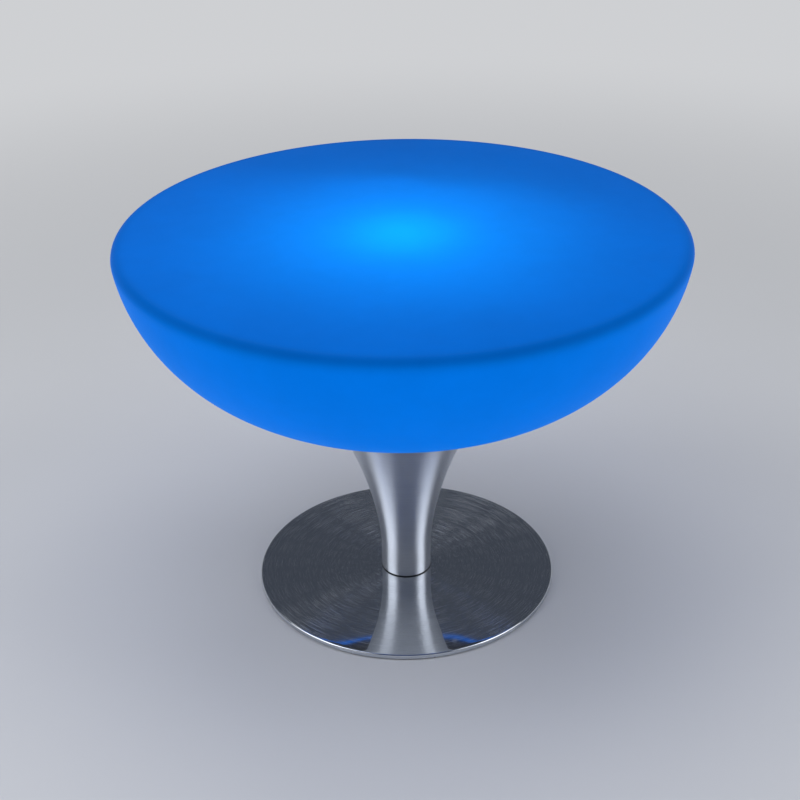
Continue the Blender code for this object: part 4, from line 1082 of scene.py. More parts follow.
def weight_mesh(sizes):
    """Weight with the groove of the floor ring and the countersinks."""
    top = WEIGHT_HIGH.z
    low = WEIGHT_LOW.z
    edge = WEIGHT_HIGH.x
    groove_top = low + sizes.groove_depth
    groove_outer = RING_HIGH.x + GAP
    groove_inner = 2 * RING_MIDDLE - RING_HIGH.x - GAP
    mesh = turned_mesh("base_disc", softened([
        (0.0, top, 0.0), (edge - sizes.chamfer, top, 0.0), (edge, top - sizes.chamfer, 0.0),
        (edge, low, SOFT), (groove_outer, low, EASED), (groove_outer, groove_top, 0.0),
        (groove_inner, groove_top, 0.0), (groove_inner, low, EASED), (0.0, low, 0.0)]), steps=160)
    head = sizes.screw_head + GAP
    shank = sizes.screw_shank + GAP
    cone_top = low + sizes.screw_height + GAP
    outline = [(0.0, top + OVERRUN), (shank, top + OVERRUN), (shank, cone_top), (head, low + GAP),
               (head, low - OVERRUN), (0.0, low - OVERRUN)]
    return carve(mesh, [over(turned_mesh("sink_" + node, outline, steps=40), node) for node in BASE_SCREWS])


def floor_ring_mesh():
    """Rubber ring with two shallow grooves in the face that it stands on."""
    low = RING_LOW.z
    high = RING_HIGH.z
    half = RING_HIGH.x - RING_MIDDLE
    groove_top = low + 0.0007
    top_round = 0.0005
    corners = [(RING_MIDDLE - half, high, top_round), (RING_MIDDLE + half, high, top_round),
               (RING_MIDDLE + half, low, SOFT)]
    for share in (0.45, -0.25):
        wide = RING_MIDDLE + half * share
        narrow = wide - half * 0.2
        corners += plain([(wide, low), (wide, groove_top), (narrow, groove_top), (narrow, low)])
    corners.append((RING_MIDDLE - half, low, SOFT))
    return turned_mesh("floor_ring_moulding", softened(corners), steps=192)


def base_screw_mesh(sizes, node):
    """Countersunk screw with a hexagon recess."""
    low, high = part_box(node)
    head = sizes.screw_head
    shank = sizes.screw_shank
    rim_height = 0.0003
    mesh = turned_mesh(node, softened([
        (0.0, high.z, 0.0), (shank, high.z, SOFT), (shank, low.z + sizes.screw_height, 0.0),
        (head, low.z + rim_height, BROKEN), (head, low.z, BROKEN), (0.0, low.z, 0.0)]), steps=48)
    recess_top = low.z + sizes.screw_height * 0.75
    recess = prism_mesh(node + "_recess", sizes.hex_key, low.z - OVERRUN, recess_top)
    return over(carve(mesh, [recess]), node)


def threaded(radius, low, high, pitch=0.001, depth=0.0004):
    """Outline corners of a thread, from its upper end down."""
    corners = []
    for i in range(int((high - low) / pitch)):
        top = high - i * pitch
        corners += [(radius - depth, top, 0.0), (radius, top - pitch / 2, 0.0)]
    return corners + [(radius - depth, low, 0.0)]


def without_rounding(corners):
    """Outline corners as plain points."""
    return [(x, z) for x, z, _ in corners]


def housing_mesh(sizes):
    """Button housing: stepped bezel below the plate, threaded barrel above it."""
    low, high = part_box("button_housing")
    bezel_top = low.z + sizes.bezel_thickness
    grip_top = bezel_top + sizes.grip
    bezel = high.x - middle("button_nut").x
    step = sizes.bezel_thickness * 0.35
    bore = sizes.housing - sizes.housing_wall
    lip = bore - sizes.housing_lip
    lip_top = low.z + sizes.housing_lip_height
    funnel_foot = 0.0010
    funnel_mouth = 0.0012
    funnel_top = low.z + 0.0003
    barrel = threaded(sizes.housing, grip_top + CUT, high.z - SOFT)
    return turned_mesh("button_bezel", softened([
        (bore, high.z, CUT), (sizes.housing - SOFT, high.z, CUT)] + barrel + [
        (sizes.housing, grip_top, 0.0), (sizes.housing, bezel_top, 0.0), (bezel, bezel_top, BROKEN),
        (bezel, low.z + step, TURNED), (bezel - step, low.z, TURNED), (lip + funnel_mouth, low.z, CUT),
        (lip + funnel_foot, funnel_top, BROKEN), (lip, funnel_top, BROKEN), (lip, lip_top, 0.0),
        (bore, lip_top, 0.0)]), steps=96)


def button_mesh(sizes):
    """Push button with a dished face."""
    low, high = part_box("power_button")
    collar = sizes.housing - sizes.housing_wall - GAP
    stem = sizes.housing - sizes.housing_wall - sizes.housing_lip - GAP
    collar_low = high.z - sizes.button_collar
    count = 6
    dish = []
    for i in range(count + 1):
        share = i / count
        level = low.z + sizes.dish * math.sin(math.pi / 2 * share)
        dish.append((stem * 0.82 * (1 - share), level, 0.0))
    return turned_mesh("button_cap", softened([
        (0.0, high.z, 0.0), (collar, high.z, CUT), (collar, collar_low, BROKEN), (stem, collar_low, 0.0),
        (stem, low.z, EASED)] + dish), steps=96)


def lug_box(side, sizes):
    """Lowest and highest corner of one hinge lug on the socket."""
    near = sizes.knuckle_width / 2 + GAP
    far = near + sizes.lug_width
    spot = middle("socket_nut")
    bezel_bottom = HINGE.z + sizes.cap_thickness / 2 + GAP
    low = (spot.x + sizes.cap, spot.y + side * near if side > 0 else spot.y - far,
           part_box("charge_socket")[0].z)
    high = (HINGE.x + sizes.lug_margin, spot.y + far if side > 0 else spot.y - near,
            bezel_bottom + sizes.bezel_thickness / 2)
    return low, high


def hinge_bore(sizes):
    """Cutter for the hinge pin's hole, longer than the knuckle and both lugs."""
    reach = 0.01
    return along_hinge(turned_mesh("hinge_bore", rod_outline(sizes.pin + GAP, -reach, reach), steps=32))


def socket_mesh(sizes):
    """Charge socket: bezel, recess with the jack and its contact, threaded barrel and hinge lugs."""
    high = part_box("charge_socket")[1].z
    low = HINGE.z + sizes.cap_thickness / 2 + GAP
    bezel_top = low + sizes.bezel_thickness
    grip_top = bezel_top + sizes.grip
    recess_top = low + sizes.recess_depth
    jack_top = recess_top + sizes.jack_depth
    bezel_round = 0.0005
    mouth_width = 0.0015
    mouth_depth = 0.0012
    jack_mouth = 0.0008
    contact_base = 0.0012
    contact_tip = 0.001
    barrel = threaded(sizes.socket, grip_top + CUT, high - jack_mouth)
    mesh = over(turned_mesh("socket_body", softened([
        (0.0, high, 0.0), (sizes.socket - SOFT, high, TURNED)] + barrel + [
        (sizes.socket, grip_top, 0.0), (sizes.socket, bezel_top, 0.0),
        (sizes.socket_bezel, bezel_top, BROKEN), (sizes.socket_bezel, low, bezel_round),
        (sizes.recess + mouth_width, low, TURNED), (sizes.recess, low + mouth_depth, EASED),
        (sizes.recess, recess_top, SOFT), (sizes.jack + jack_mouth, recess_top, CUT),
        (sizes.jack, recess_top + jack_mouth, CUT), (sizes.jack, jack_top, 0.0),
        (sizes.contact, jack_top, 0.0), (sizes.contact, recess_top + contact_base, SOFT),
        (0.0, recess_top + contact_tip, 0.0)]), steps=96), "socket_nut")
    lugs = [block_mesh(f"hinge_lug_{side}", *lug_box(side, sizes), rounding=SOFT) for side in (-1, 1)]
    return carve(carve(mesh, lugs, "UNION"), [hinge_bore(sizes)])


def flap_mesh(sizes):
    """Socket flap: dished disc with a raised rim, grip ribs, a tab and a hinge knuckle."""
    spot = middle("socket_nut")
    cap = sizes.cap
    half = sizes.cap_thickness / 2
    width = sizes.knuckle_width / 2
    disc = turned_mesh("socket_cap", softened([
        (0.0, half, 0.0), (cap, half, EASED), (cap, -half, SOFT), (cap * 0.84, -half, TURNED),
        (cap * 0.78, -half * 0.5, TURNED), (0.0, -half * 0.4, 0.0)]), steps=96)
    disc.transform(Matrix.Translation((spot.x, spot.y, HINGE.z)))
    outline = rod_outline(sizes.knuckle, -width, width, TURNED)
    knuckle = along_hinge(turned_mesh("flap_knuckle", outline, steps=48))
    tab = block_mesh("flap_tab", (spot.x + sizes.recess, HINGE.y - width * 0.93, HINGE.z - half * 0.8),
                     (HINGE.x, HINGE.y + width * 0.93, HINGE.z + half * 0.8), rounding=TURNED)
    rib_half = 0.0003
    rib_round = 0.00025
    ribs = []
    for number in range(5):
        aside = cap * (0.26 + 0.10 * number)
        reach = math.sqrt((cap * 0.72) ** 2 - aside ** 2)
        low = (spot.x - aside - rib_half, spot.y - reach, HINGE.z - half * 0.95)
        high = (spot.x - aside + rib_half, spot.y + reach, HINGE.z)
        ribs.append(block_mesh(f"grip_rib_{number}", low, high, rib_round))
    return carve(carve(disc, [tab, knuckle] + ribs, "UNION"), [hinge_bore(sizes)])


def hinge_pin_mesh(sizes):
    """Hinge pin with rounded ends."""
    low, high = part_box("flap_hinge_pin")
    half = (high.y - low.y) / 2
    return along_hinge(turned_mesh("hinge_pin_rod", rod_outline(sizes.pin, -half, half, TURNED), steps=48))


def upright_screw_mesh(node, shank, head_height, pitch, depth, key=0.0):
    """Screw with its head on top: a hexagon recess of this size, or else a crossed one."""
    low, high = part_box(node)
    head = (high.x - low.x) / 2
    seat = high.z - head_height
    floor = high.z - head_height * 0.6
    crown = head_height * (0.08 if key else 0.45)
    face = head * (0.94 if key else 0.6)
    thread = threaded(shank, low.z + depth, seat - pitch, pitch, depth)
    steps = 48
    mesh = turned_mesh(node, softened([
        (0.0, high.z, 0.0), (face, high.z, crown), (head, high.z - crown, crown), (head, seat, BROKEN),
        (shank - depth, seat, 0.0)] + thread + [
        (shank - depth * 2, low.z, 0.0), (0.0, low.z, 0.0)]), steps)
    if key:
        mesh = knurled(mesh, head, depth / 2, steps)
        tools = [prism_mesh(node + "_key", key, floor, high.z + OVERRUN)]
    else:
        arm = head * 0.62
        blade = head * 0.13
        tools = [block_mesh(f"{node}_cross_{i}", (-x, -y, floor), (x, y, high.z + OVERRUN), blade / 3)
                 for i, (x, y) in enumerate([(arm, blade), (blade, arm)])]
    return over(carve(mesh, tools), node)


def nut_mesh(node, flats, bore, pitch, depth, collar=0.0):
    """Hexagon nut with turned-off corners and a thread, on a collar if it has one."""
    low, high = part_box(node)
    corner = flats / math.sqrt(3.0)
    slope = corner - flats / 2
    base = low.z + collar
    trim = turned_mesh(node + "_trim", [
        (0.0, high.z), (flats / 2, high.z), (corner, high.z - slope / 2), (corner, base + slope / 2),
        (flats / 2, base), (0.0, base)], steps=72)
    mesh = carve(prism_mesh(node, flats, base, high.z), [trim], "INTERSECT")
    if collar:
        width = (high.x - low.x) / 2
        joint = base + MERGE * 5
        washer = turned_mesh(node + "_collar", softened([
            (0.0, joint, 0.0), (width * 0.8, joint, 0.0), (width, low.z + collar * 0.6, SOFT),
            (width, low.z, EASED), (0.0, low.z, 0.0)]), steps=72)
        mesh = carve(mesh, [washer], "UNION")
    thread = [(0.0, high.z + OVERRUN), (bore, high.z + OVERRUN)]
    thread += without_rounding(threaded(bore, low.z - OVERRUN, high.z, pitch, depth))
    thread.append((0.0, low.z - OVERRUN))
    return over(carve(mesh, [turned_mesh(node + "_thread", thread, steps=60)]), node)


def insert_mesh(sizes, bore, node):
    """Brass insert with two knurled bands and a groove between them."""
    low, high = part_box(node)
    radius = (high.x - low.x) / 2
    neck = radius - 0.0005
    crest = bore + sizes.fine_thread
    tall = high.z - low.z
    bands = [(radius, high.z - tall * 0.08), (radius, low.z + tall * 0.58), (neck, low.z + tall * 0.54),
             (neck, low.z + tall * 0.46), (radius, low.z + tall * 0.42), (radius, low.z + tall * 0.08)]
    thread = threaded(crest, low.z, high.z - sizes.fine_pitch / 2, sizes.fine_pitch, sizes.fine_thread)
    outline = [(crest, high.z), (neck, high.z)] + bands + [(neck, low.z)]
    outline += without_rounding(thread)[::-1]
    steps = 56
    return over(knurled(turned_mesh(node, outline, steps), radius, depth=0.00025, steps=steps), node)


def flange_mesh(sizes, bolt):
    """Steel disc in the mouth of the column, with its bolt holes."""
    low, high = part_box("mounting_flange")
    outline = ring_outline(sizes.rod + GAP, high.x, low.z, high.z, SOFT)
    mesh = turned_mesh("flange_disc", outline, steps=160)
    return carve(mesh, drills(FLANGE_BOLTS, bolt + GAP, low.z - OVERRUN, high.z + OVERRUN, steps=36))


def spigot_mesh(sizes, screw):
    """Turned boss that centres the column, with a bore for the rod and three holes from below."""
    low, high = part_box("column_spigot")
    tall = high.z - low.z
    bore = sizes.rod + GAP
    chamfer = 0.0015
    bore_round = 0.0005
    groove = high.x - 0.0006
    mesh = turned_mesh("spigot_boss", softened([
        (bore, high.z, bore_round), (high.x - chamfer, high.z, TURNED), (high.x, high.z - chamfer, TURNED),
        (high.x, low.z + tall * 0.30, CUT), (groove, low.z + tall * 0.27, CUT),
        (groove, low.z + tall * 0.20, CUT), (high.x, low.z + tall * 0.17, CUT), (high.x, low.z, EASED),
        (bore, low.z, bore_round)]), steps=96)
    screw_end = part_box(BASE_SCREWS[0])[1].z
    return carve(mesh, drills(BASE_SCREWS, screw + GAP, low.z - OVERRUN, screw_end + GAP))


def rod_mesh(sizes):
    """Tie rod with a thread at both ends."""
    low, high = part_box("tie_rod")
    chamfer = sizes.thread * 2
    reach = sizes.rod_thread
    upper = threaded(sizes.rod, high.z - reach, high.z - chamfer, sizes.pitch, sizes.thread)
    lower = threaded(sizes.rod, low.z + chamfer, low.z + reach, sizes.pitch, sizes.thread)
    outline = [(0.0, high.z), (sizes.rod - chamfer, high.z)] + without_rounding(upper)
    outline += [(sizes.rod, high.z - reach - chamfer), (sizes.rod, low.z + reach + chamfer)]
    outline += without_rounding(lower) + [(sizes.rod - chamfer, low.z), (0.0, low.z)]
    return turned_mesh("threaded_rod", outline, steps=48)


def seal_mesh(screw):
    """Foam seal between the bowl and the plate, with the holes of the screws."""
    low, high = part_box("bowl_gasket")
    spot = middle(BOWL_SCREWS[0])
    inner = 2 * math.hypot(spot.x, spot.y) - high.x
    outline = ring_outline(inner, high.x, low.z, high.z, (high.z - low.z) * 0.35)
    mesh = turned_mesh("foam_seal", outline, steps=160)
    return carve(mesh, drills(BOWL_SCREWS, screw + GAP, low.z - OVERRUN, high.z + OVERRUN))


def tray_mesh(sizes, screw):
    """Spun tray with rounded bends, a brim and its screw holes."""
    low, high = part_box("lamp_tray")
    sheet = sizes.sheet
    side = high.x - sizes.brim
    floor = low.z + sheet
    outer = [(0.0, high.z, 0.0), (side, high.z, sizes.bend), (side, floor, sheet / 2),
             (high.x, floor, sheet / 3), (high.x, low.z, sheet / 3)]
    inner = [(side - sheet, low.z, sheet), (side - sheet, high.z - sheet, sizes.bend - sheet),
             (0.0, high.z - sheet, 0.0)]
    mesh = turned_mesh("spun_tray", softened(outer + inner, steps=6), steps=128)
    return carve(mesh, drills(TRAY_SCREWS, screw + GAP, low.z - OVERRUN, floor + OVERRUN))


def diffuser_mesh(sizes):
    """Domed diffuser with a straight rim."""
    low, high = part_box("lamp_diffuser")
    spring = low.z + sizes.diffuser_rim
    radius = high.x
    rise = high.z - spring
    wall = sizes.diffuser_wall
    count = 24
    angles = [math.pi / 2 * i / count for i in range(count + 1)]
    outer = [(radius * math.sin(a), spring + rise * math.cos(a)) for a in angles]
    inner = [((radius - wall) * math.sin(a), spring + (rise - wall) * math.cos(a)) for a in angles]
    rim = [(radius, low.z + EASED), (radius - EASED, low.z), (radius - wall, low.z)]
    return turned_mesh("diffuser_dome", outer + rim + inner[::-1], steps=128)


def led_mesh(node):
    """Light source: a square package with a low round lens, turned as its node is."""
    spot = middle(node)
    low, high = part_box(node)
    turn = math.atan2(spot.y, spot.x)
    half = (high.x - low.x) / 2 / (abs(math.cos(turn)) + abs(math.sin(turn)))
    shelf = low.z + (high.z - low.z) * 0.55
    rise = high.z - shelf
    lens = half * 0.82
    count = 8
    angles = [math.pi / 2 * i / count for i in range(count + 1)]
    points = [(lens * math.sin(a), shelf + rise * math.cos(a)) for a in angles]
    points += [(lens, shelf - rise / 2), (0.0, shelf - rise / 2)]
    package = block_mesh(node, (-half, -half, low.z), (half, half, shelf), CUT)
    mesh = carve(package, [turned_mesh(node + "_lens", points, steps=32)], "UNION")
    mesh.transform(Matrix.Rotation(turn, 4, "Z"))
    return over(mesh, node)


def battery_mesh(sizes):
    """Cells side by side in shrunk film, with rounded ends."""
    low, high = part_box("battery_pack")
    radius = (high.z - low.z) / 2
    half = (high.y - low.y) / 2
    level = (high.z + low.z) / 2
    crown = math.radians(30)
    outline = []
    for side in (1, -1):
        for i in range(sizes.cells):
            last = i == sizes.cells - 1
            y = side * (sizes.cells - 1 - 2 * i) * sizes.cell
            start = math.pi / 2 - crown if i else 0.0
            end = math.pi if last else math.pi / 2 + crown
            points = arc(y, 0.0, side * radius, start, end, count=9)
            outline += points[:-1] if last else points
    long = high.x - low.x
    stations = [(0.0, 0.0016), (0.0002, 0.0008), (0.0008, 0.0002), (0.0018, 0.0)]
    stations += [(long - along, inset) for along, inset in reversed(stations)]
    rings = [[(low.x + along, y * (1 - inset / half), level + z * (1 - inset / radius)) for y, z in outline]
             for along, inset in stations]
    return lofted_mesh("wrapped_cells", rings)


def strap_mesh(sizes, screw):
    """Bent strap over the battery, with a screw hole in each foot."""
    low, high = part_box("battery_strap")
    sheet = sizes.sheet
    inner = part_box("battery_pack")[1].y + GAP
    foot_top = low.z + sheet
    half = [(inner, high.z - sheet, sheet), (inner, low.z, sheet), (high.y, low.z, TURNED),
            (high.y, foot_top, TURNED), (inner + sheet, foot_top, sheet / 3),
            (inner + sheet, high.z, sheet * 1.6)]
    outline = softened(half + [(-y, z, rounding) for y, z, rounding in reversed(half)], steps=5)
    mesh = lofted_mesh("bent_strap", [[(x, y, z) for y, z in outline] for x in (low.x, high.x)])
    return carve(mesh, drills(STRAP_SCREWS, screw + GAP, low.z - OVERRUN, foot_top + OVERRUN))


def sleeve_mesh(node):
    """Round lead: the node's own tube, with its facets merged and smoothed."""
    shape = bmesh.new()
    shape.from_mesh(frame["nodes"][node].data)
    bmesh.ops.remove_doubles(shape, verts=shape.verts, dist=MERGE)
    tube = add_object(node + "_sleeve", made_mesh(node + "_sleeve", shape))
    tube.modifiers.new("smooth", "SUBSURF").levels = 1
    made = evaluated(tube)
    bpy.data.objects.remove(tube, do_unlink=True)
    for name in [attribute.name for attribute in made.attributes if attribute.name == "custom_normal"]:
        made.attributes.remove(made.attributes[name])
    return made


def case_mesh(sizes, screw):
    """Moulded control case, open below, with a lug at each end and cooling slots on top."""
    low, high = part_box("control_case")
    spot = middle("control_case")
    wall = sizes.case_wall
    lug_top = low.z + sizes.lug_sheet
    half_width = high.y - sizes.case_lug
    mesh = block_mesh("moulded_case", (low.x, -half_width, low.z), (high.x, half_width, high.z),
                      rounding=0.003, segments=4)
    lug = (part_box(CASE_SCREWS[0])[1].x - spot.x) * 1.8
    ears = block_mesh("case_ears", (spot.x - lug, low.y, low.z), (spot.x + lug, high.y, lug_top),
                      rounding=0.0012)
    tools = [block_mesh("case_hollow", (low.x + wall, -half_width + wall, low.z - OVERRUN * 2),
                        (high.x - wall, half_width - wall, high.z - wall), rounding=0.0015)]
    tools += drills(CASE_SCREWS, screw + GAP, low.z - OVERRUN, lug_top + OVERRUN)
    slot_half = 0.0008
    slot_reach = 0.012
    slot_pitch = 0.006
    for number in range(-3, 4):
        x = spot.x + number * slot_pitch
        tools.append(block_mesh(f"cooling_slot_{number + 3}", (x - slot_half, -slot_reach, high.z - wall * 2),
                                (x + slot_half, slot_reach, high.z + OVERRUN), rounding=0.0007))
    return carve(carve(mesh, [ears], "UNION"), tools)


def round_board_mesh():
    """Round lamp board with a softened edge."""
    low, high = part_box("lamp_board")
    return turned_mesh("round_board", rod_outline(high.x, low.z, high.z, CUT), steps=128)


def switch_mesh():
    """Push switch above the button: a cap, a round body with a fine groove, and a narrower foot."""
    low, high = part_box("button_switch")
    radius = (high.x - low.x) / 2
    cap = radius * 0.72
    foot = radius * 0.55
    tall = high.z - low.z
    shoulder = high.z - tall * 0.28
    foot_top = low.z + tall * 0.12
    return over(turned_mesh("switch_body", softened([
        (0.0, high.z, 0.0), (cap, high.z, EASED), (cap, shoulder, BROKEN), (radius, shoulder, EASED),
        (radius, low.z + tall * 0.34, 0.0), (radius - EASED, low.z + tall * 0.32, 0.0),
        (radius, low.z + tall * 0.30, 0.0), (radius, foot_top, TURNED), (foot, foot_top, 0.0),
        (foot, low.z, TURNED), (0.0, low.z, 0.0)]), steps=64), "button_switch")


# Blocks on both boards: name, finish, rounding, and rows. A row has the middle and the half size along both
# sides, as shares of the board's half size, and the height

LAMP_BLOCKS = [
    ("lamp_board_chips", "socket_plastic", CUT, [
        (0.0, 0.0, 0.10, 0.10, 0.0016), (0.30, 0.30, 0.05, 0.03, 0.0008), (-0.30, 0.30, 0.05, 0.03, 0.0008),
        (0.30, -0.30, 0.05, 0.03, 0.0008), (-0.30, -0.30, 0.05, 0.03, 0.0008)]),
    ("lamp_board_plug", "case_plastic", EASED, [(0.0, -0.72, 0.11, 0.06, 0.0050)]),
]
CONTROL_BLOCKS = [
    ("control_chips", "socket_plastic", CUT, [
        (-0.35, 0.30, 0.16, 0.11, 0.0016), (0.30, 0.42, 0.10, 0.06, 0.0012),
        (0.32, -0.10, 0.07, 0.07, 0.0012), (-0.20, -0.35, 0.05, 0.025, 0.0008),
        (-0.05, -0.35, 0.05, 0.025, 0.0008), (0.10, -0.35, 0.05, 0.025, 0.0008)]),
    ("control_plugs", "case_plastic", EASED, [
        (-0.80, 0.45, 0.12, 0.10, 0.0036), (-0.80, -0.45, 0.12, 0.10, 0.0036)]),
    ("control_coils", "zinc_steel", 0.0010, [
        (0.66, 0.60, 0.16, 0.12, 0.0034), (0.66, -0.55, 0.16, 0.12, 0.0034)]),
]


def add_blocks(node, groups):
    """Put small blocks on a circuit board, each group of them as one piece."""
    low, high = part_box(node)
    spot = middle(node)
    half = (high - low) / 2
    for name, slot, rounding, rows in groups:
        blocks = []
        for x, y, wide, deep, tall in rows:
            foot = Vector((spot.x + x * half.x, spot.y + y * half.y, high.z))
            reach = Vector((wide * half.x, deep * half.y, 0.0))
            top = foot + reach + Vector((0.0, 0.0, tall))
            blocks.append(block_mesh("block", foot - reach, top, rounding))
        piece = add_piece(name, joined_mesh(name, blocks), node, slot)


# Operators, one for each piece or group of like pieces and one for the stage


class TABLE_OT_inner_parts(bpy.types.Operator):
    """Give every node of the frame the finish of its slot"""
    bl_idname = "light_table.inner_parts"
    bl_label = "Finish the inner parts"

    def execute(self, context):
        for node, obj in frame["nodes"].items():
            obj.data.materials.clear()
            obj.data.materials.append(finish(SLOT_OF[node]))
        return {"FINISHED"}


class TABLE_OT_bowl(bpy.types.Operator):
    """Make the glowing bowl"""
    bl_idname = "light_table.bowl"
    bl_label = "Bowl"

    def execute(self, context):
        stand_for("bowl_moulding", bowl_mesh(context.scene.table_bowl), "bowl")
        return {"FINISHED"}


class TABLE_OT_underside(bpy.types.Operator):
    """Make the underside plate and the screws that hold it"""
    bl_idname = "light_table.underside"
    bl_label = "Underside plate"

    def execute(self, context):
        sizes = context.scene.table_fittings
        stand_for("underside_disc", plate_mesh(sizes), "underside_plate")
        for name, node in zip(numbered("pan_screw", 6), BOWL_SCREWS):
            stand_for(name, pan_screw_mesh(sizes, node), node)
        return {"FINISHED"}


class TABLE_OT_column(bpy.types.Operator):
    """Make the spun column and its foot gasket"""
    bl_idname = "light_table.column"
    bl_label = "Column"

    def execute(self, context):
        sizes = context.scene.table_column
        stand_for("column_trumpet", column_mesh(sizes), "column", look="stainless_column")
        stand_for("foot_seal", gasket_mesh(sizes), "foot_gasket")
        return {"FINISHED"}


class TABLE_OT_base(bpy.types.Operator):
    """Make the base cover, the weight, the floor ring and the screws below"""
    bl_idname = "light_table.base"
    bl_label = "Base"

    def execute(self, context):
        sizes = context.scene.table_base
        stand_for("base_cover_pressing", cover_mesh(sizes), "base_cover", look="stainless_cover")
        stand_for("base_disc", weight_mesh(sizes), "base_weight")
        stand_for("floor_ring_moulding", floor_ring_mesh(), "floor_ring")
        for name, node in zip(numbered("countersunk_screw", 3), BASE_SCREWS):
            stand_for(name, base_screw_mesh(sizes, node), node)
        return {"FINISHED"}


class TABLE_OT_button(bpy.types.Operator):
    """Make the push button and its housing"""
    bl_idname = "light_table.button"
    bl_label = "Push button"

    def execute(self, context):
        sizes = context.scene.table_fittings
        housing = over(housing_mesh(sizes), "button_nut")
        stand_for("button_bezel", housing, "button_housing", look="stainless_button")
        cap = over(button_mesh(sizes), "button_nut")
        stand_for("button_cap", cap, "power_button", look="stainless_button")
        return {"FINISHED"}


class TABLE_OT_socket(bpy.types.Operator):
    """Make the charge socket, its flap and the hinge pin"""
    bl_idname = "light_table.socket"
    bl_label = "Charge socket"

    def execute(self, context):
        sizes = context.scene.table_fittings
        stand_for("socket_body", socket_mesh(sizes), "charge_socket")
        stand_for("socket_cap", flap_mesh(sizes), "socket_flap")
        stand_for("hinge_pin_rod", hinge_pin_mesh(sizes), "flap_hinge_pin")
        return {"FINISHED"}


class TABLE_OT_fasteners(bpy.types.Operator):
    """Make the rod, the flange, the spigot, the seal and the screws inside"""
    bl_idname = "light_table.fasteners"
    bl_label = "Rod, flange and screws"

    def execute(self, context):
        sizes = context.scene.table_inner
        fittings = context.scene.table_fittings
        base = context.scene.table_base
        stand_for("threaded_rod", rod_mesh(sizes), "tie_rod")
        stand_for("flange_disc", flange_mesh(sizes, fittings.bolt_shank), "mounting_flange")
        stand_for("spigot_boss", spigot_mesh(sizes, base.screw_shank), "column_spigot")
        nut = nut_mesh("flange_nut", sizes.nut_flats, sizes.rod + GAP, sizes.pitch, sizes.thread,
                       sizes.nut_collar)
        stand_for("collared_nut", nut, "flange_nut")
        stand_for("foam_seal", seal_mesh(fittings.screw_shank), "bowl_gasket")
        for name, node in zip(numbered("cap_bolt", 4), FLANGE_BOLTS):
            bolt = upright_screw_mesh(node, fittings.bolt_shank, sizes.bolt_head, sizes.pitch, sizes.thread,
                                      sizes.bolt_key)
            stand_for(name, bolt, node)
        for name, node in zip(numbered("knurled_insert", 6), BOWL_INSERTS):
            stand_for(name, insert_mesh(sizes, fittings.screw_shank, node), node)
        for node in SMALL_SCREWS:
            screw = upright_screw_mesh(node, fittings.small_shank, sizes.small_head, sizes.fine_pitch,
                                       sizes.fine_thread)
            stand_for("crossed_" + node, screw, node)
        return {"FINISHED"}


class TABLE_OT_lamp(bpy.types.Operator):
    """Make the lamp: tray, board, light sources and diffuser"""
    bl_idname = "light_table.lamp"
    bl_label = "Lamp"

    def execute(self, context):
        sizes = context.scene.table_inner
        stand_for("spun_tray", tray_mesh(sizes, context.scene.table_fittings.small_shank), "lamp_tray")
        stand_for("round_board", round_board_mesh(), "lamp_board")
        add_blocks("lamp_board", LAMP_BLOCKS)
        for name, node in zip(numbered("light_source", 4), LEDS):
            stand_for(name, led_mesh(node), node)
        stand_for("diffuser_dome", diffuser_mesh(sizes), "lamp_diffuser")
        return {"FINISHED"}


class TABLE_OT_battery(bpy.types.Operator):
    """Make the battery, its strap and the leads"""
    bl_idname = "light_table.battery"
    bl_label = "Battery and leads"

    def execute(self, context):
        sizes = context.scene.table_inner
        stand_for("wrapped_cells", battery_mesh(sizes), "battery_pack")
        stand_for("bent_strap", strap_mesh(sizes, context.scene.table_fittings.small_shank), "battery_strap")
        for node in ("battery_lead", "lamp_lead"):
            stand_for(node + "_sleeve", sleeve_mesh(node), node)
        return {"FINISHED"}


class TABLE_OT_control(bpy.types.Operator):
    """Make the control case, its board, the panel nuts and the switch"""
    bl_idname = "light_table.control"
    bl_label = "Control case"

    def execute(self, context):
        sizes = context.scene.table_inner
        fittings = context.scene.table_fittings
        stand_for("moulded_case", case_mesh(sizes, fittings.small_shank), "control_case")
        card = block_mesh("control_card", *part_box("control_board"), rounding=EASED)
        stand_for("control_card", card, "control_board")
        add_blocks("control_board", CONTROL_BLOCKS)
        for node, radius in (("button_nut", fittings.housing), ("socket_nut", fittings.socket)):
            low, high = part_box(node)
            flats = min(high.x - low.x, high.y - low.y)
            mesh = nut_mesh(node, flats, radius + GAP, sizes.fine_pitch, sizes.fine_thread)
            stand_for("panel_" + node, mesh, node)
        stand_for("switch_body", switch_mesh(), "button_switch")
        return {"FINISHED"}


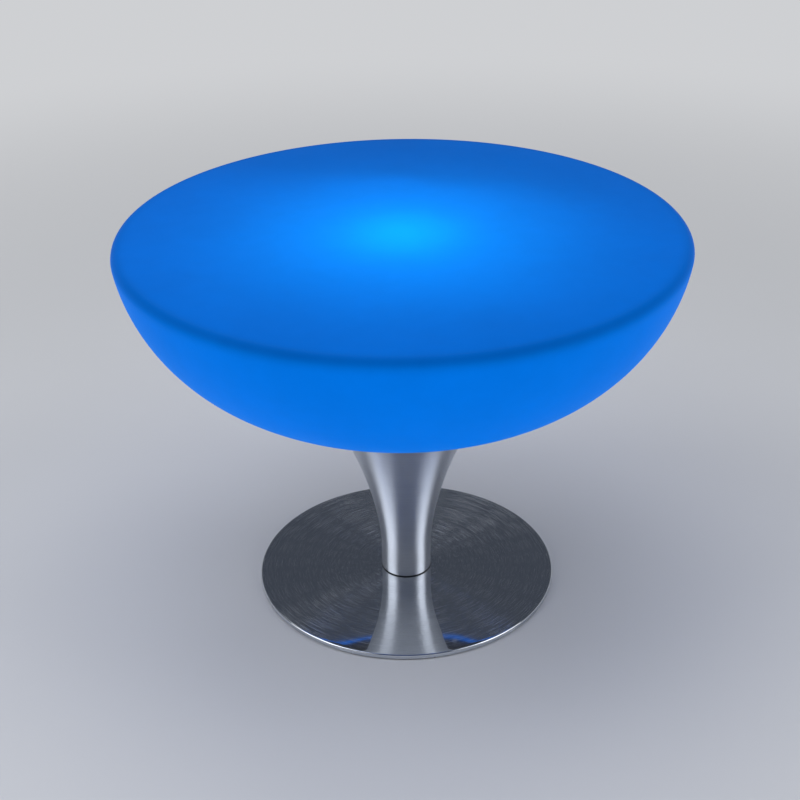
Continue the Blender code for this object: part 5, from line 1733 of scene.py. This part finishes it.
class TABLE_OT_stage(bpy.types.Operator):
    """Make the floor, the lamps, the surround and the camera"""
    bl_idname = "light_table.stage"
    bl_label = "Stage"

    def execute(self, context):
        look = context.scene.table_stage
        self.make_floor(look)
        self.make_world(context, look)
        self.make_lamps(look)
        self.make_camera(context, look)
        context.scene.view_settings.view_transform = "Standard"
        return {"FINISHED"}

    def make_floor(self, look):
        """Plain floor, which turns into an even backdrop further out and is clear under the base."""
        shape = bmesh.new()
        bmesh.ops.create_circle(shape, cap_ends=True, segments=96, radius=look.floor_radius)
        mesh = made_mesh("floor", shape)
        sheet = Finish("floor_paint", Specular_IOR_Level=0.25)
        radius = sheet.radius(sheet.here)
        cloud = sheet.noise(sheet.here, scale=1.3, detail=4.0)
        sheet.coloured(look.floor, sheet.fade(cloud, low=0.2, high=0.8, start=0.985, end=1.015))
        sheet.set(Roughness=sheet.fade(cloud, low=0.2, high=0.8, start=0.62, end=0.72))
        ray = sheet.add("LightPath").outputs
        mirrored = sheet.math("MAXIMUM", ray["Is Glossy Ray"], ray["Is Transmission Ray"])
        seen = sheet.math("MAXIMUM", ray["Is Camera Ray"], mirrored)
        far = sheet.times(seen, sheet.fade(radius, look.fade_start, look.fade_end))
        backdrop = sheet.add("Emission", {"Color": (*look.floor, 1.0)}).outputs[0]
        blend = sheet.add("MixShader", {0: far, 1: sheet.shader.outputs[0], 2: backdrop}).outputs[0]
        under_base = sheet.math("LESS_THAN", radius, WEIGHT_HIGH.x - FLOOR_INSET)
        below = sheet.math("MAXIMUM", sheet.add("NewGeometry").outputs["Backfacing"], under_base)
        clear = sheet.add("BsdfTransparent").outputs[0]
        ground = sheet.add("MixShader", {0: below, 1: blend, 2: clear})
        sheet.put(ground.outputs[0], sheet.tree.nodes["Material Output"].inputs["Surface"])
        mesh.materials.append(sheet.material)
        floor = add_object("floor", mesh)
        floor.location.z = FLOOR_LEVEL

    def make_world(self, context, look):
        """Even light from all round, paler low down than high up."""
        world = bpy.data.worlds.new("surround")
        world.use_nodes = True
        context.scene.world = world
        sheet = Sheet(world.node_tree)
        height = sheet.split(sheet.add("TexCoord").outputs["Generated"])[2]
        rise = sheet.fade(height, low=0.15, high=0.5)
        colour = sheet.mix(rise, (*look.floor, 1.0), (*look.ceiling, 1.0))
        sheet.put(colour, world.node_tree.nodes["Background"].inputs["Color"])

    def make_lamps(self, look):
        """Large soft lamps, all turned towards the underside of the bowl."""
        aim = Vector((0.0, 0.0, BOWL_LOW.z))
        for name, place, width, tall in LAMPS:
            lamp = bpy.data.lights.new(name, "AREA")
            lamp.shape = "RECTANGLE"
            lamp.size = width
            lamp.size_y = tall
            lamp.energy = getattr(look, name)
            obj = add_object(name, lamp)
            obj.location = place
            obj.rotation_euler = (aim - Vector(place)).to_track_quat("-Z", "Y").to_euler()

    def make_camera(self, context, look):
        """Camera at the photograph's angle."""
        lens = bpy.data.cameras.new("camera")
        camera = add_object("camera", lens)
        lens.sensor_width = SENSOR_WIDTH
        lens.lens = look.focal_pixels * lens.sensor_width / PHOTO_SIDE
        ahead = Vector((0.0, math.cos(look.pitch), -math.sin(look.pitch)))
        right = Vector((1.0, 0.0, 0.0))
        up = right.cross(ahead)
        across = math.cos(look.roll) * right + math.sin(look.roll) * up
        upward = math.cos(look.roll) * up - math.sin(look.roll) * right
        place = Vector((look.aim_side, 0.0, look.aim_height)) - look.distance * ahead
        turn = Matrix((across, upward, -ahead)).transposed().to_4x4()
        camera.matrix_world = Matrix.Translation(place) @ turn
        context.scene.camera = camera


class TABLE_PT_panel(bpy.types.Panel):
    """Lists the operators in the 3D view's sidebar"""
    bl_idname = "TABLE_PT_panel"
    bl_label = "Light-up table"
    bl_space_type = "VIEW_3D"
    bl_region_type = "UI"
    bl_category = "Light-up table"

    def draw(self, context):
        for operator in OPERATORS:
            self.layout.operator(operator.bl_idname)


OPERATORS = [TABLE_OT_inner_parts, TABLE_OT_bowl, TABLE_OT_underside, TABLE_OT_column, TABLE_OT_base,
             TABLE_OT_button, TABLE_OT_socket, TABLE_OT_fasteners, TABLE_OT_lamp, TABLE_OT_battery,
             TABLE_OT_control, TABLE_OT_stage]
SETTINGS = {
    "table_bowl": TableBowl,
    "table_column": TableColumn,
    "table_base": TableBase,
    "table_fittings": TableFittings,
    "table_inner": TableInner,
    "table_finish": TableFinish,
    "table_stage": TableStage,
}


def register():
    """Add the settings to the scene, and the operators and the panel to the program."""
    for name, group in SETTINGS.items():
        bpy.utils.register_class(group)
        setattr(bpy.types.Scene, name, PointerProperty(type=group))
    for kind in OPERATORS + [TABLE_PT_panel]:
        bpy.utils.register_class(kind)


def unregister():
    """Take all of it away again, in the opposite order."""
    for kind in reversed(OPERATORS + [TABLE_PT_panel]):
        bpy.utils.unregister_class(kind)
    for name, group in reversed(SETTINGS.items()):
        delattr(bpy.types.Scene, name)
        bpy.utils.unregister_class(group)


def main():
    """Register the classes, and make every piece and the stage."""
    register()
    bpy.ops.light_table.inner_parts()
    bpy.ops.light_table.bowl()
    bpy.ops.light_table.underside()
    bpy.ops.light_table.column()
    bpy.ops.light_table.base()
    bpy.ops.light_table.button()
    bpy.ops.light_table.socket()
    bpy.ops.light_table.fasteners()
    bpy.ops.light_table.lamp()
    bpy.ops.light_table.battery()
    bpy.ops.light_table.control()
    bpy.ops.light_table.stage()


if __name__ == "__main__":
    main()
